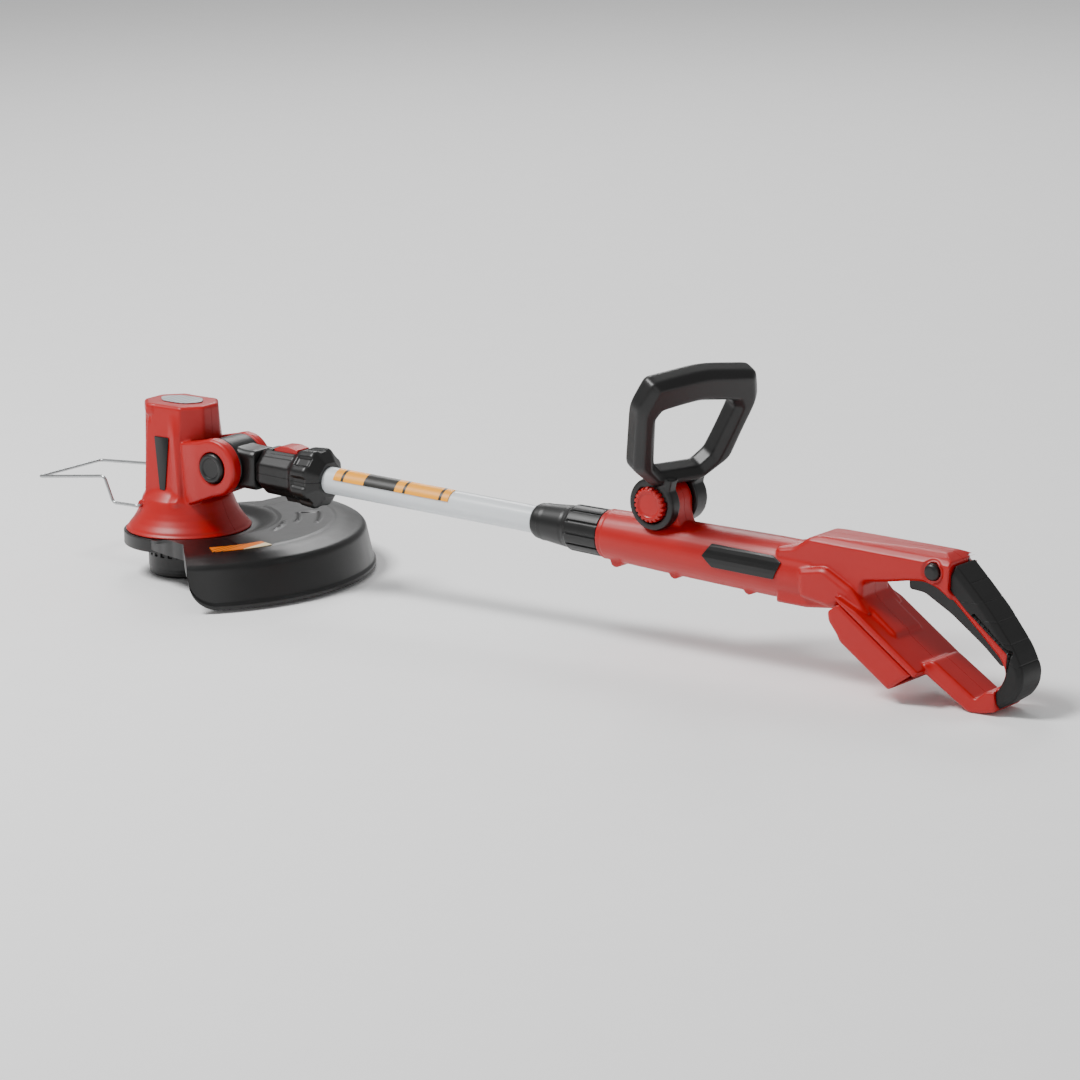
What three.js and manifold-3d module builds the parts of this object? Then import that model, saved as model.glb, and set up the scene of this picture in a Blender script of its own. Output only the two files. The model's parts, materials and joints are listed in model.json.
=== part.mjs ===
// Cordless string trimmer: cutting head with guard, tilting neck, telescopic tube and battery handle.
// Millimetres, +Z up. The origin is on the ground under the spool, +X runs back towards the user's hand,
// and -Y is the user's left. The tool lies on its spool and on the lower bar of its rear handle.
import * as THREE from "three";
import { mergeVertices } from "three/addons/utils/BufferGeometryUtils.js";
import Module from "manifold-3d";

const wasm = await Module();
wasm.setup();

// ---------------------------------------------------------------- driving dimensions

const GAP = 0.3; // between two pieces that touch
const RUN = 0.4; // between two pieces that turn or slide on each other

const SPOOL_R = 35.5; // outside of the spool cap
const SPOOL_TOP = 26; // rim of the spool cap
const CAP_WALL = 2.5;
const BUMP_R = 12; // bump button
const BUMP_TRAVEL = 4;

const GUARD_R = 160; // lip of the guard, for a 300 mm cut
const GUARD_LIP_Z = 3;
const GUARD_TOP_Z = 44; // flat top of the guard
const GUARD_WALL = 2.6;
const GUARD_TURN = 18; // the guard's middle line, turned from +X towards +Y
const GUARD_HALF_ANGLE = 67;
const GUARD_CORNER = 25; // round lower corner at each end of the wall

const SKIRT_R = 54; // flared foot of the motor housing
const SKIRT_Z = 38.9; // its lower rim
const HEAD_TOP = 149;
const HEAD_FRONT = 37;
const HEAD_BACK = 33;
const HEAD_HALF = 31;
const HEAD_WALL = 3;
const MOTOR_R = 21.5;
const MOTOR_BASE_Z = 66;
const MOTOR_TOP_Z = 128;
const SHAFT_R = 2.5; // motor shaft

const PIVOT_X = 55.4; // tilt axis of the head
const PIVOT_Z = 101.7;
const CHEEK_R = 24.5;
const NEAR_CHEEK = [-31, -20]; // the fork's two cheeks, across the tool
const FAR_CHEEK = [12, 21.5];
const KNUCKLE_R = 23;
const FORK_ROOT = PIVOT_X - KNUCKLE_R - 1; // bottom of the fork between the cheeks
const PIVOT_BOLT_R = 4;
const PIVOT_BUTTON_R = 12.9;

const WIRE_R = 1.4;
const WIRE_HALF = 40; // half the width of the wire guard
const WIRE_PIVOT = [-22, 61];
const WIRE_REACH = -137;

const TUBE_R = 11.35;
const TUBE_WALL = 1.5;
const TUBE_FRONT = 61.5; // places along the shaft are measured from the tilt axis
const TUBE_BACK = 545;
const NECK_END = 36;
const SPIGOT_WALL = 2.15; // the spigot's outside stands this far out from the tube's
const SPIGOT_R = TUBE_R + SPIGOT_WALL;
const COLLAR_END = 105;
const NUT_FRONT = 325;
const BARREL_FRONT = 396;
const BARREL_R = 24;
const NOSE_R = TUBE_R + 3.65; // threaded nose that the clamp nut runs on
const CORE_HALF = 20; // half the width of the rear handle
const GRIP_HALF = 16;
const BAR_HALF = 19;
const PLATFORM_HALF = 33;
const HOUSING_WALL = 3.5;
const TRIGGER_HALF = 8;
const FOOT = [757, -80.2]; // lowest corner of the rear handle, along and above the shaft axis

const HANDLE_PIVOT = [452.8, 37]; // front handle, along and above the shaft axis
const EAR_R = 17.5;
const EAR_HALF = 10.8;
const FORK_R = 21.3;
const NEAR_FORK = 22;
const FAR_FORK = 27;
const KNOB_R = 14.4;
const LOOP_LEAN = 21.9;
const LOOP_YAW = -18.7;
const LOOP_DEPTH = 20;
const LOOP_BAR = 16.4;

const ARC_STEPS = 4;
const ROUND_SIDES = 36;

// The shaft slopes down so far that the handle's foot comes to the ground.
const FOOT_REACH = Math.hypot(FOOT[0], FOOT[1]);
const SHAFT_SLOPE = Math.asin(PIVOT_Z / FOOT_REACH) - Math.atan2(-FOOT[1], FOOT[0]);

// ---------------------------------------------------------------- solids

const degrees = THREE.MathUtils.degToRad;

function solid(geometry) {
  const bare = geometry.index ? geometry.toNonIndexed() : geometry.clone();
  bare.deleteAttribute("normal");
  bare.deleteAttribute("uv");
  const merged = mergeVertices(bare, 1e-3);
  const vertProperties = merged.getAttribute("position").array;
  const triVerts = new Uint32Array(merged.index.array);
  return new wasm.Manifold(new wasm.Mesh({ numProp: 3, vertProperties, triVerts }));
}

function join(first, ...others) {
  return others.reduce((whole, other) => whole.add(other), first);
}

function cut(first, ...others) {
  return others.reduce((whole, other) => whole.subtract(other), first);
}

function geometryOf(made) {
  const { vertProperties, triVerts } = made.getMesh();
  const geometry = new THREE.BufferGeometry();
  geometry.setAttribute("position", new THREE.BufferAttribute(vertProperties, 3));
  geometry.setIndex(new THREE.BufferAttribute(triVerts, 1));
  geometry.computeVertexNormals();
  return geometry;
}

// A closed outline. Each corner is [x, y] or [x, y, r]; r is how far from the corner its rounding starts.
function outline(corners) {
  const shape = new THREE.Shape();
  corners.forEach(([x, y, r = 0], i) => {
    const corner = new THREE.Vector2(x, y);
    const enter = stepTowards(corner, corners.at(i - 1), r);
    const leave = stepTowards(corner, corners[(i + 1) % corners.length], r);
    if (i === 0) shape.moveTo(enter.x, enter.y);
    else shape.lineTo(enter.x, enter.y);
    if (r > 0) shape.quadraticCurveTo(x, y, leave.x, leave.y);
  });
  shape.closePath();
  return shape;
}

function stepTowards(from, to, distance) {
  const way = new THREE.Vector2(to[0], to[1]).sub(from);
  return way.setLength(distance).add(from);
}

function extruded(shape, depth, bevel, curveSegments = ARC_STEPS) {
  return new THREE.ExtrudeGeometry(shape, {
    depth: depth - 2 * bevel,
    bevelEnabled: bevel > 0,
    bevelThickness: bevel,
    bevelSize: bevel,
    bevelOffset: -bevel,
    bevelSegments: 1,
    curveSegments,
  }).translate(0, 0, bevel);
}

// An outline in x and z, carried along y.
function acrossY(shape, from, to, bevel = 0, curveSegments = ARC_STEPS) {
  return solid(extruded(shape, to - from, bevel, curveSegments).rotateX(Math.PI / 2).translate(0, to, 0));
}

// An outline in x and y, carried along z.
function upZ(shape, from, to, bevel = 0, curveSegments = ARC_STEPS) {
  return solid(extruded(shape, to - from, bevel, curveSegments).translate(0, 0, from));
}

function box(x0, x1, y0, y1, z0, z1) {
  const block = new THREE.BoxGeometry(x1 - x0, y1 - y0, z1 - z0);
  return solid(block.translate((x0 + x1) / 2, (y0 + y1) / 2, (z0 + z1) / 2));
}

// A profile of [radius, height] points, turned about z. It starts and ends on the axis or closes on itself.
function turnedZ(profile, sides = ROUND_SIDES) {
  return solid(lathe(profile, sides).rotateX(Math.PI / 2));
}

// The same, turned about x: the second number of each point runs along x.
function turnedX(profile, sides = ROUND_SIDES, start = 0) {
  return solid(lathe(profile, sides, start).rotateZ(-Math.PI / 2));
}

// The same, turned about y.
function turnedY(profile, sides = ROUND_SIDES) {
  return solid(lathe(profile, sides));
}

function lathe(profile, sides, start = 0) {
  const points = profile.map(([r, h]) => new THREE.Vector2(r, h));
  return new THREE.LatheGeometry(points, sides, start);
}

function ringProfile(inner, outer, from, to) {
  return [[inner, from], [outer, from], [outer, to], [inner, to], [inner, from]];
}

function rodZ(x, y, r, from, to, sides = 16) {
  const rod = new THREE.CylinderGeometry(r, r, to - from, sides).rotateX(Math.PI / 2);
  return solid(rod.translate(x, y, (from + to) / 2));
}

function rodY(x, z, r, from, to, sides = 16) {
  return solid(new THREE.CylinderGeometry(r, r, to - from, sides).translate(x, (from + to) / 2, z));
}

function rodX(y, z, r, from, to, sides = 16) {
  const rod = new THREE.CylinderGeometry(r, r, to - from, sides).rotateZ(-Math.PI / 2);
  return solid(rod.translate((from + to) / 2, y, z));
}

// A round bar along a curve.
function bar(path, r, sides, steps) {
  const round = new THREE.Shape(regularPolygon(sides, r));
  return solid(new THREE.ExtrudeGeometry(round, { steps, bevelEnabled: false, extrudePath: path }));
}

function regularPolygon(sides, r) {
  return Array.from({ length: sides }, (_, i) => {
    const angle = (2 * Math.PI * i) / sides;
    return new THREE.Vector2(r * Math.cos(angle), r * Math.sin(angle));
  });
}

// Straight stretches between the given points, with a bend at each inner point.
function bentPath(points, bend) {
  const path = new THREE.CurvePath();
  let from = points[0];
  for (let i = 1; i < points.length - 1; i++) {
    const corner = points[i];
    const enter = corner.clone().sub(from).setLength(-bend).add(corner);
    const leave = points[i + 1].clone().sub(corner).setLength(bend).add(corner);
    path.add(new THREE.LineCurve3(from, enter));
    path.add(new THREE.QuadraticBezierCurve3(enter, corner, leave));
    from = leave;
  }
  path.add(new THREE.LineCurve3(from, points.at(-1)));
  return path;
}

class Helix extends THREE.Curve {
  constructor(r, height, turns) {
    super();
    Object.assign(this, { r, height, turns });
  }

  getPoint(t) {
    const angle = 2 * Math.PI * this.turns * t;
    return new THREE.Vector3(this.r * Math.cos(angle), this.r * Math.sin(angle), this.height * t);
  }
}

// ---------------------------------------------------------------- finishes

function finish(color, roughness, metalness) {
  return new THREE.MeshStandardMaterial({ color, roughness, metalness });
}

const redPlastic = () => finish("#e3302a", 0.4, 0);
const blackPlastic = () => finish("#232322", 0.55, 0);
const softRubber = () => finish("#1b1b1b", 0.8, 0);
const greyPlastic = () => finish("#b9b9b4", 0.6, 0);
const steel = () => finish("#b8bcc0", 0.3, 1);
const labelFilm = (color) => finish(color, 0.4, 0);

function piece(name, made, material) {
  const mesh = new THREE.Mesh(geometryOf(made), material);
  mesh.name = name;
  return mesh;
}

// ---------------------------------------------------------------- spool

const SPOOL_FLOOR = CAP_WALL;
const SPOOL_IN = SPOOL_R - CAP_WALL;
const HUB_Z = SPOOL_TOP - 3.5;
const REEL_R = SPOOL_IN - 2;
const REEL_Z = SPOOL_FLOOR + GAP * 2;
const REEL_TOP = HUB_Z - BUMP_TRAVEL - 2;
const REEL_BORE = 8;
const EYELET_R = 2.4;
const EYELET_Z = 10;

function spoolCap() {
  const profile = [
    [BUMP_R + RUN, 0],
    [SPOOL_R - 3, 0],
    [SPOOL_R - 0.8, 0.9],
    [SPOOL_R, 3],
    [SPOOL_R, SPOOL_TOP],
    [SPOOL_IN, SPOOL_TOP],
    [SPOOL_IN, SPOOL_FLOOR],
    [BUMP_R + RUN, SPOOL_FLOOR],
    [BUMP_R + RUN, 0],
  ];
  const hole = EYELET_R + GAP;
  return cut(turnedZ(profile, 48), rodX(0, EYELET_Z, hole, -SPOOL_R - 5, SPOOL_R + 5, 12));
}

function bumpButton() {
  const stem = REEL_BORE - GAP;
  return turnedZ([
    [0, 0],
    [BUMP_R, 0],
    [BUMP_R, SPOOL_FLOOR],
    [stem, SPOOL_FLOOR],
    [stem, REEL_TOP],
    [0, REEL_TOP],
  ], 24);
}

function lineSpool() {
  const flange = 1.6;
  const profile = [
    [REEL_BORE, REEL_Z],
    [REEL_R, REEL_Z],
    [REEL_R, REEL_Z + flange],
    [REEL_BORE + 3, REEL_Z + flange],
    [REEL_BORE + 3, REEL_TOP - flange],
    [REEL_R, REEL_TOP - flange],
    [REEL_R, REEL_TOP],
    [REEL_BORE, REEL_TOP],
    [REEL_BORE, REEL_Z],
  ];
  return turnedZ(profile, 32);
}

function linePack() {
  const flange = 1.6 + GAP;
  return turnedZ(ringProfile(REEL_BORE + 3 + GAP, REEL_R - 3, REEL_Z + flange, REEL_TOP - flange), 32);
}

function feedSpring() {
  const wire = 0.45;
  const height = HUB_Z - REEL_TOP - 2 * (GAP + wire);
  const coil = bar(new Helix(11, height, 2), wire, 5, 36);
  return coil.translate([0, 0, REEL_TOP + GAP + wire]);
}

function eyelet(side) {
  const ring = turnedX(ringProfile(1.2, EYELET_R, SPOOL_IN - 0.5, SPOOL_R + 0.8), 12);
  const placed = side > 0 ? ring : ring.mirror([1, 0, 0]);
  return placed.translate([0, 0, EYELET_Z]);
}

function driveHub() {
  const bore = SHAFT_R + GAP;
  const boss = 8;
  const profile = [
    [bore, HUB_Z],
    [SPOOL_IN - GAP, HUB_Z],
    [SPOOL_IN - GAP, SPOOL_TOP - 0.5],
    [boss, SPOOL_TOP - 0.5],
    [boss, SPOOL_TOP + 10],
    [bore, SPOOL_TOP + 10],
    [bore, HUB_Z],
  ];
  return turnedZ(profile, 32);
}

function motorShaft() {
  return rodZ(0, 0, SHAFT_R, HUB_Z + 1, MOTOR_BASE_Z + 32);
}

// ---------------------------------------------------------------- guard

const RING_TOP = SKIRT_Z - GAP;
const RING_R = SKIRT_R + 2;
const RING_BOTTOM = SPOOL_TOP + 1;
const RIB_Z = 30; // foot of the ribs along the guard's two ends
const GUARD_SCREWS = [-60, 60, 150];
const GUARD_SCREW_R = 42;
const GUARD_PLATE_R = GUARD_R - 28;
const GUARD_SHOULDER_R = GUARD_R - 8;

function polar(r, angle) {
  return [r * Math.cos(degrees(angle)), r * Math.sin(degrees(angle))];
}

function guardShield() {
  const profile = [
    [RING_R - 6, RING_TOP - GUARD_WALL],
    [RING_R + 4, RING_TOP - GUARD_WALL],
    [RING_R + 18, GUARD_TOP_Z - GUARD_WALL],
    [GUARD_PLATE_R - 0.5, GUARD_TOP_Z - GUARD_WALL],
    [GUARD_SHOULDER_R - GUARD_WALL, GUARD_TOP_Z - 6 - GUARD_WALL / 2],
    [GUARD_R - 1.5 - GUARD_WALL, GUARD_LIP_Z],
    [GUARD_R, GUARD_LIP_Z],
    [GUARD_R, GUARD_LIP_Z + 2.5],
    [GUARD_R - 2, GUARD_LIP_Z + 5],
    [GUARD_SHOULDER_R, GUARD_TOP_Z - 6],
    [GUARD_PLATE_R, GUARD_TOP_Z],
    [RING_R + 17, GUARD_TOP_Z],
    [RING_R + 3, RING_TOP],
    [RING_R - 6, RING_TOP],
    [RING_R - 6, RING_TOP - GUARD_WALL],
  ];
  return turnedZ(profile, 90);
}

// The guard's plan view: each end leaves the ring, runs along it for a while and then out to the wall.
function guardPlan(depth) {
  const end = polar(GUARD_R + 2, GUARD_HALF_ANGLE);
  const near = [
    [-30, 0],
    [-12, RING_R - 1],
    [4, RING_R + 11.5],
    [32, RING_R + 29],
    end,
    [end[0] + 30, 2 * GUARD_R],
  ];
  const back = near.toReversed().slice(0, -1).map(([x, y]) => [x, -y]);
  const corners = [...near, [2 * GUARD_R, 2 * GUARD_R], [2 * GUARD_R, -2 * GUARD_R], ...back];
  return outline(inset(corners, depth));
}

// The solid that fills the guard from its top down to the foot of the ribs along its ends.
function guardFill() {
  return turnedZ([
    [RING_R - 1, RIB_Z],
    [GUARD_R - 5, RIB_Z],
    [GUARD_SHOULDER_R - 1, GUARD_TOP_Z - 6],
    [GUARD_PLATE_R - 1, GUARD_TOP_Z - 1],
    [RING_R + 18, GUARD_TOP_Z - 1],
    [RING_R + 4, RING_TOP - 1],
    [RING_R - 1, RING_TOP - 1],
    [RING_R - 1, RIB_Z],
  ], 90);
}

// What is cut away at the foot of one end of the wall to round its lower corner.
function guardCorner(side) {
  const low = GUARD_LIP_Z - 2;
  const high = GUARD_LIP_Z + GUARD_CORNER;
  const shape = new THREE.Shape([new THREE.Vector2(-30, low), new THREE.Vector2(GUARD_CORNER, low)]);
  shape.lineTo(GUARD_CORNER, GUARD_LIP_Z);
  shape.quadraticCurveTo(0, GUARD_LIP_Z, 0, high);
  shape.lineTo(-30, high);
  const tool = acrossY(shape, -30, 30, 0, 8);
  const [x, y] = polar(GUARD_R, GUARD_HALF_ANGLE);
  const placed = tool.rotate([0, 0, GUARD_HALF_ANGLE - 90]).translate([x, y, 0]);
  return side > 0 ? placed : placed.mirror([0, 1, 0]);
}

function guardRing() {
  const wall = 2.5;
  const profile = [
    [20, RING_TOP - GUARD_WALL],
    [RING_R - wall, RING_TOP - GUARD_WALL],
    [RING_R - wall, RING_BOTTOM],
    [RING_R, RING_BOTTOM],
    [RING_R, RING_TOP],
    [20, RING_TOP],
    [20, RING_TOP - GUARD_WALL],
  ];
  return turnedZ(profile, 60);
}

function guard() {
  const plan = upZ(guardPlan(0), 0, 60);
  const ribs = guardFill().intersect(cut(plan, upZ(guardPlan(GUARD_WALL), 0, 60)));
  const shield = cut(join(guardShield().intersect(plan), ribs), guardCorner(1), guardCorner(-1));
  const whole = join(shield, guardRing()).rotate([0, 0, GUARD_TURN]);
  const holes = GUARD_SCREWS.map((angle) => rodZ(...polar(GUARD_SCREW_R, angle), 2, 20, 60, 10));
  return cut(whole, ...holes, ...cutterScrewHoles());
}

function guardScrew(angle) {
  const [x, y] = polar(GUARD_SCREW_R, angle);
  const under = RING_TOP - GUARD_WALL - GAP;
  return join(rodZ(x, y, 3.5, under - 2.4, under, 12), rodZ(x, y, 1.7, under - 1, SKIRT_Z + 6.5, 10));
}

// The line cutter stands inside the wall, near the end that is on the user's right.
const CUTTER_ANGLE = GUARD_TURN + GUARD_HALF_ANGLE - 9;
const CUTTER_R = GUARD_R - 13;
const CUTTER_SPAN = 9;

function inCutterFrame(made) {
  return made.rotate([0, 0, CUTTER_ANGLE]);
}

function cutterBlade() {
  const blade = outline([[-CUTTER_SPAN, 10], [CUTTER_SPAN, 10], [CUTTER_SPAN, 24], [-CUTTER_SPAN + 6, 24]]);
  const plate = upZ(blade, 0, 1.2).rotate([90, 0, 90]).translate([CUTTER_R, 0, 0]);
  const holes = [-4, 5].map((y) => rodX(y, 19, 1.9, CUTTER_R - 5, CUTTER_R + 5, 10));
  return inCutterFrame(cut(plate, ...holes));
}

function cutterScrewHoles() {
  return [-4, 5].map((y) => inCutterFrame(rodX(y, 19, 1.9, CUTTER_R - 5, CUTTER_R + 30, 10)));
}

function cutterScrew(y) {
  const head = rodX(y, 19, 3, CUTTER_R - 1.9, CUTTER_R - GAP, 10);
  return inCutterFrame(join(head, rodX(y, 19, 1.5, CUTTER_R - 1, CUTTER_R + 8, 10)));
}

// A label strip that follows the guard's round edge.
function guardLabel() {
  const [inner, outer] = [GUARD_PLATE_R - 22, GUARD_PLATE_R - 6];
  const [from, to] = [degrees(-39.5), degrees(-15)];
  const strip = new THREE.Shape().absarc(0, 0, outer, from, to);
  strip.absarc(0, 0, inner, to, from, true);
  return upZ(strip, GUARD_TOP_Z + GAP, GUARD_TOP_Z + GAP + 0.6, 0, 8);
}

// ---------------------------------------------------------------- motor housing

const BODY_BASE = 58;

// The housing's upper body: an eight-cornered column that draws in towards its top.
function bodyColumn(grow, top, bevel) {
  const corners = [
    [-HEAD_FRONT - grow, 13, 6],
    [-22, HEAD_HALF + grow, 5],
    [18, HEAD_HALF + grow, 5],
    [HEAD_BACK + grow, 12, 6],
  ];
  const mirrored = corners.toReversed().map(([x, y, r]) => [x, -y, r]);
  const column = extruded(outline([...corners, ...mirrored]), top - BODY_BASE, bevel);
  const place = column.getAttribute("position");
  for (let i = 0; i < place.count; i++) {
    const t = place.getZ(i) / (HEAD_TOP - BODY_BASE);
    const x = place.getX(i);
    place.setX(i, x * (1 - (x < 0 ? 0.03 : 0.1) * t));
    place.setY(i, place.getY(i) * (1 - 0.2 * t));
  }
  return solid(column.translate(0, 0, BODY_BASE));
}

function skirt(shrink) {
  return turnedZ([
    [0, shrink > 0 ? SKIRT_Z - 1 : SKIRT_Z],
    [SKIRT_R - shrink, shrink > 0 ? SKIRT_Z - 1 : SKIRT_Z],
    [SKIRT_R - shrink, SKIRT_Z + 1.2],
    [SKIRT_R - 2.4 - shrink, SKIRT_Z + 4.5],
    [44.8 - shrink, SKIRT_Z + 13.5],
    [39.6 - shrink, SKIRT_Z + 25],
    [36.5 - shrink, SKIRT_Z + 36 - shrink],
    [0, SKIRT_Z + 36 - shrink],
  ], 48);
}

function cheek([from, to], r) {
  const fan = outline([
    [14, PIVOT_Z + r - 8],
    [PIVOT_X, PIVOT_Z + r],
    [PIVOT_X + r * 0.6, PIVOT_Z - r * 0.8],
    [31.6, 67.5, 4],
    [14, 62],
  ]);
  return join(acrossY(fan, from, to), rodY(PIVOT_X, PIVOT_Z, r, from, to, ROUND_SIDES));
}

function wireLug(side) {
  const [from, to] = side > 0 ? [28, WIRE_HALF - 5] : [5 - WIRE_HALF, -28];
  return rodY(...WIRE_PIVOT, 5, from, to, 14);
}

function guardScrewBoss(angle, r, top) {
  return rodZ(...polar(GUARD_SCREW_R, angle), r, SKIRT_Z - (r < 3 ? 1 : 0), SKIRT_Z + top, 12);
}

function headShell() {
  const shell = join(
    bodyColumn(0, HEAD_TOP, 5),
    skirt(0),
    cheek(NEAR_CHEEK, CHEEK_R),
    cheek(FAR_CHEEK, CHEEK_R - 1.5),
    wireLug(1),
    wireLug(-1),
  );
  const inside = join(bodyColumn(-HEAD_WALL, HEAD_TOP - HEAD_WALL, 0), skirt(HEAD_WALL));
  const hollow = cut(shell, inside);
  const bossed = join(hollow, ...GUARD_SCREWS.map((angle) => guardScrewBoss(angle, 4.5, 9)));
  return cut(
    bossed,
    ...GUARD_SCREWS.map((angle) => guardScrewBoss(angle, 2, 7.5)),
    box(FORK_ROOT, 90, NEAR_CHEEK[1], FAR_CHEEK[0], SKIRT_Z + 25, HEAD_TOP),
    rodY(PIVOT_X, PIVOT_Z, PIVOT_BOLT_R + RUN, -50, 50),
    rodY(PIVOT_X, PIVOT_Z, PIVOT_BUTTON_R + RUN, -50, BUTTON_SEAT, 28),
    rodY(PIVOT_X, PIVOT_Z, PIVOT_BUTTON_R + RUN, CAP_SEAT, 50, 28),
    rodY(...WIRE_PIVOT, WIRE_R + RUN, -60, -30.5, 12),
    rodY(...WIRE_PIVOT, WIRE_R + RUN, 30.5, 60, 12),
    motorSeat(GAP),
  );
}

function headHousing(side) {
  const [from, to] = side > 0 ? [GAP / 2, 70] : [-70, -GAP / 2];
  return headShell().intersect(box(-80, 120, from, to, 20, 180));
}

// The steel plate that carries the motor, held in a groove of the housing.
function motorSeat(grow) {
  return rodZ(0, 0, 37 + grow, MOTOR_BASE_Z - 3.2 - grow, MOTOR_BASE_Z - GAP + grow, ROUND_SIDES);
}

function motorMount() {
  return cut(motorSeat(0), rodZ(0, 0, 9, 0, 100));
}

function motorCan() {
  const can = turnedZ([
    [0, MOTOR_BASE_Z],
    [MOTOR_R, MOTOR_BASE_Z],
    [MOTOR_R, MOTOR_TOP_Z - 2],
    [MOTOR_R - 2, MOTOR_TOP_Z],
    [6, MOTOR_TOP_Z],
    [6, MOTOR_TOP_Z + 4],
    [0, MOTOR_TOP_Z + 4],
  ]);
  return cut(can, rodZ(0, 0, SHAFT_R + RUN, 0, MOTOR_BASE_Z + 34));
}

// A plate that follows the near side of the housing.
function headNamePlate() {
  const face = outline([[-11.5, 121.5, 1], [4.5, 121.5, 1], [1.5, 76, 1], [-4.5, 76, 1]]);
  const skin = cut(bodyColumn(1.2, HEAD_TOP, 0), bodyColumn(GAP, HEAD_TOP, 0));
  return skin.intersect(acrossY(face, -60, -5));
}

function headTopLabel() {
  const lens = outline([[-27, 0, 6], [-14, 13, 6], [10, 13, 6], [20, 0, 5], [10, -13, 6], [-14, -13, 6]]);
  return upZ(lens, HEAD_TOP + GAP, HEAD_TOP + GAP + 0.6);
}

const BUTTON_SEAT = NEAR_CHEEK[1] - 2.5; // floors of the two recesses in the cheeks
const CAP_SEAT = FAR_CHEEK[0] + 4;
const PIVOT_TRAVEL = 4;

function pivotBolt() {
  return rodY(PIVOT_X, PIVOT_Z, PIVOT_BOLT_R, BUTTON_SEAT + 1, CAP_SEAT - GAP);
}

// The button has a groove in its inner face that takes the spring when it is pressed.
function pivotButton() {
  const face = NEAR_CHEEK[0] - 2;
  const inner = BUTTON_SEAT - PIVOT_TRAVEL - GAP;
  const cap = turnedY([
    [0, face],
    [PIVOT_BUTTON_R - 3, face],
    [PIVOT_BUTTON_R, face + 2],
    [PIVOT_BUTTON_R, inner],
    [10, inner],
    [10, inner - PIVOT_TRAVEL],
    [7, inner - PIVOT_TRAVEL],
    [7, inner],
    [0, inner],
  ], 28);
  return cap.translate([PIVOT_X, 0, PIVOT_Z]);
}

function pivotCap() {
  const face = FAR_CHEEK[1] + 1;
  const cap = turnedY([
    [0, CAP_SEAT + GAP],
    [PIVOT_BUTTON_R, CAP_SEAT + GAP],
    [PIVOT_BUTTON_R, face - 1.5],
    [PIVOT_BUTTON_R - 2, face],
    [0, face],
  ], 28);
  return cap.translate([PIVOT_X, 0, PIVOT_Z]);
}

// The spring is drawn at its pressed length.
function pivotSpring() {
  const wire = 0.45;
  const height = PIVOT_TRAVEL - 2 * wire - GAP;
  const coil = bar(new Helix(8.5, height, 2), wire, 5, 32).rotate([90, 0, 0]);
  return coil.translate([PIVOT_X, BUTTON_SEAT - wire - GAP / 2, PIVOT_Z]);
}

// One leg of the wire guard: from its bore in the housing forwards, up to a bend and on to the tip.
function wireLeg(side, rise) {
  const [pivotX, pivotZ] = WIRE_PIVOT;
  const points = [
    [pivotX, 31, pivotZ],
    [pivotX, WIRE_HALF - 1, pivotZ],
    [pivotX - 29, WIRE_HALF - 1, pivotZ - 0.5],
    [pivotX - 38.5, WIRE_HALF - 1, pivotZ + rise],
    [WIRE_REACH, WIRE_HALF - 1, pivotZ + 12],
  ];
  return points.map(([x, y, z]) => new THREE.Vector3(x, side * y, z));
}

function wireGuard() {
  const path = bentPath([...wireLeg(-1, 21.5), ...wireLeg(1, 17).toReversed()], 3);
  return bar(path, WIRE_R, 6, 110);
}

// ---------------------------------------------------------------- neck and collar, along the shaft axis

const COLLAR_FRONT = NECK_END + RUN;
const COLLAR_SCREW_V = TUBE_R + 2.85;
const COLLAR_SCREWS = [[86, -COLLAR_SCREW_V], [92, COLLAR_SCREW_V]];

function pivotKnuckle() {
  const arm = outline([
    [0, -KNUCKLE_R + 1],
    [16, -17, 6],
    [NECK_END, -17, 3],
    [NECK_END, 17, 3],
    [16, 17, 6],
    [0, KNUCKLE_R - 1],
  ]);
  const knuckle = join(
    rodY(0, 0, KNUCKLE_R, NEAR_CHEEK[1] + RUN, FAR_CHEEK[0] - RUN, ROUND_SIDES),
    acrossY(arm, -18, FAR_CHEEK[0] - RUN, 2),
    rodX(0, 0, SPIGOT_R, NECK_END - 4, TUBE_FRONT - 1, 28),
  );
  return cut(knuckle, rodY(0, 0, PIVOT_BOLT_R + RUN, -50, 50));
}

function collarSolid() {
  const flat = 1 / Math.cos(Math.PI / 8);
  const outer = [
    [SPIGOT_R + 2.5, COLLAR_FRONT],
    [SPIGOT_R + 6, COLLAR_FRONT + 6],
    [SPIGOT_R + 6.5, 76],
    [SPIGOT_R + 10.5, 82],
    [SPIGOT_R + 11.3, 96],
    [TUBE_R + 3.15, COLLAR_END],
  ];
  const profile = [[0, COLLAR_FRONT], ...outer.map(([r, u]) => [r * flat, u]), [0, COLLAR_END]];
  const body = turnedX(profile, 8, Math.PI / 8);
  const boss = box(62, 78, -7, 7, -SPIGOT_R - 9.5, 0);
  const bores = join(
    rodX(0, 0, SPIGOT_R + RUN, 0, TUBE_FRONT, 28),
    rodX(0, 0, TUBE_R + GAP, TUBE_FRONT - 1, 200, 28),
  );
  return cut(join(body, boss), bores);
}

const BUTTON = { from: 50, to: 76, half: 8, base: SPIGOT_R + 2.5, top: SPIGOT_R + 9.9 };

function collarUpper() {
  const upper = collarSolid().intersect(box(0, 200, -60, 60, GAP / 2, 60));
  const slot = box(BUTTON.from - RUN, BUTTON.to + RUN, -BUTTON.half - RUN, BUTTON.half + RUN, 0, 60);
  const screws = COLLAR_SCREWS.map(([u, v]) => rodZ(u, v, 1.7, 0, 11, 10));
  return cut(upper, slot, ...screws);
}

function collarLower() {
  const lower = collarSolid().intersect(box(0, 200, -60, 60, -60, -GAP / 2));
  const holes = COLLAR_SCREWS.map(([u, v]) => rodZ(u, v, 1.7, -60, 1, 10));
  const headRooms = COLLAR_SCREWS.map(([u, v]) => rodZ(u, v, 3.4, -60, -12, 12));
  return cut(lower, ...holes, ...headRooms);
}

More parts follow.
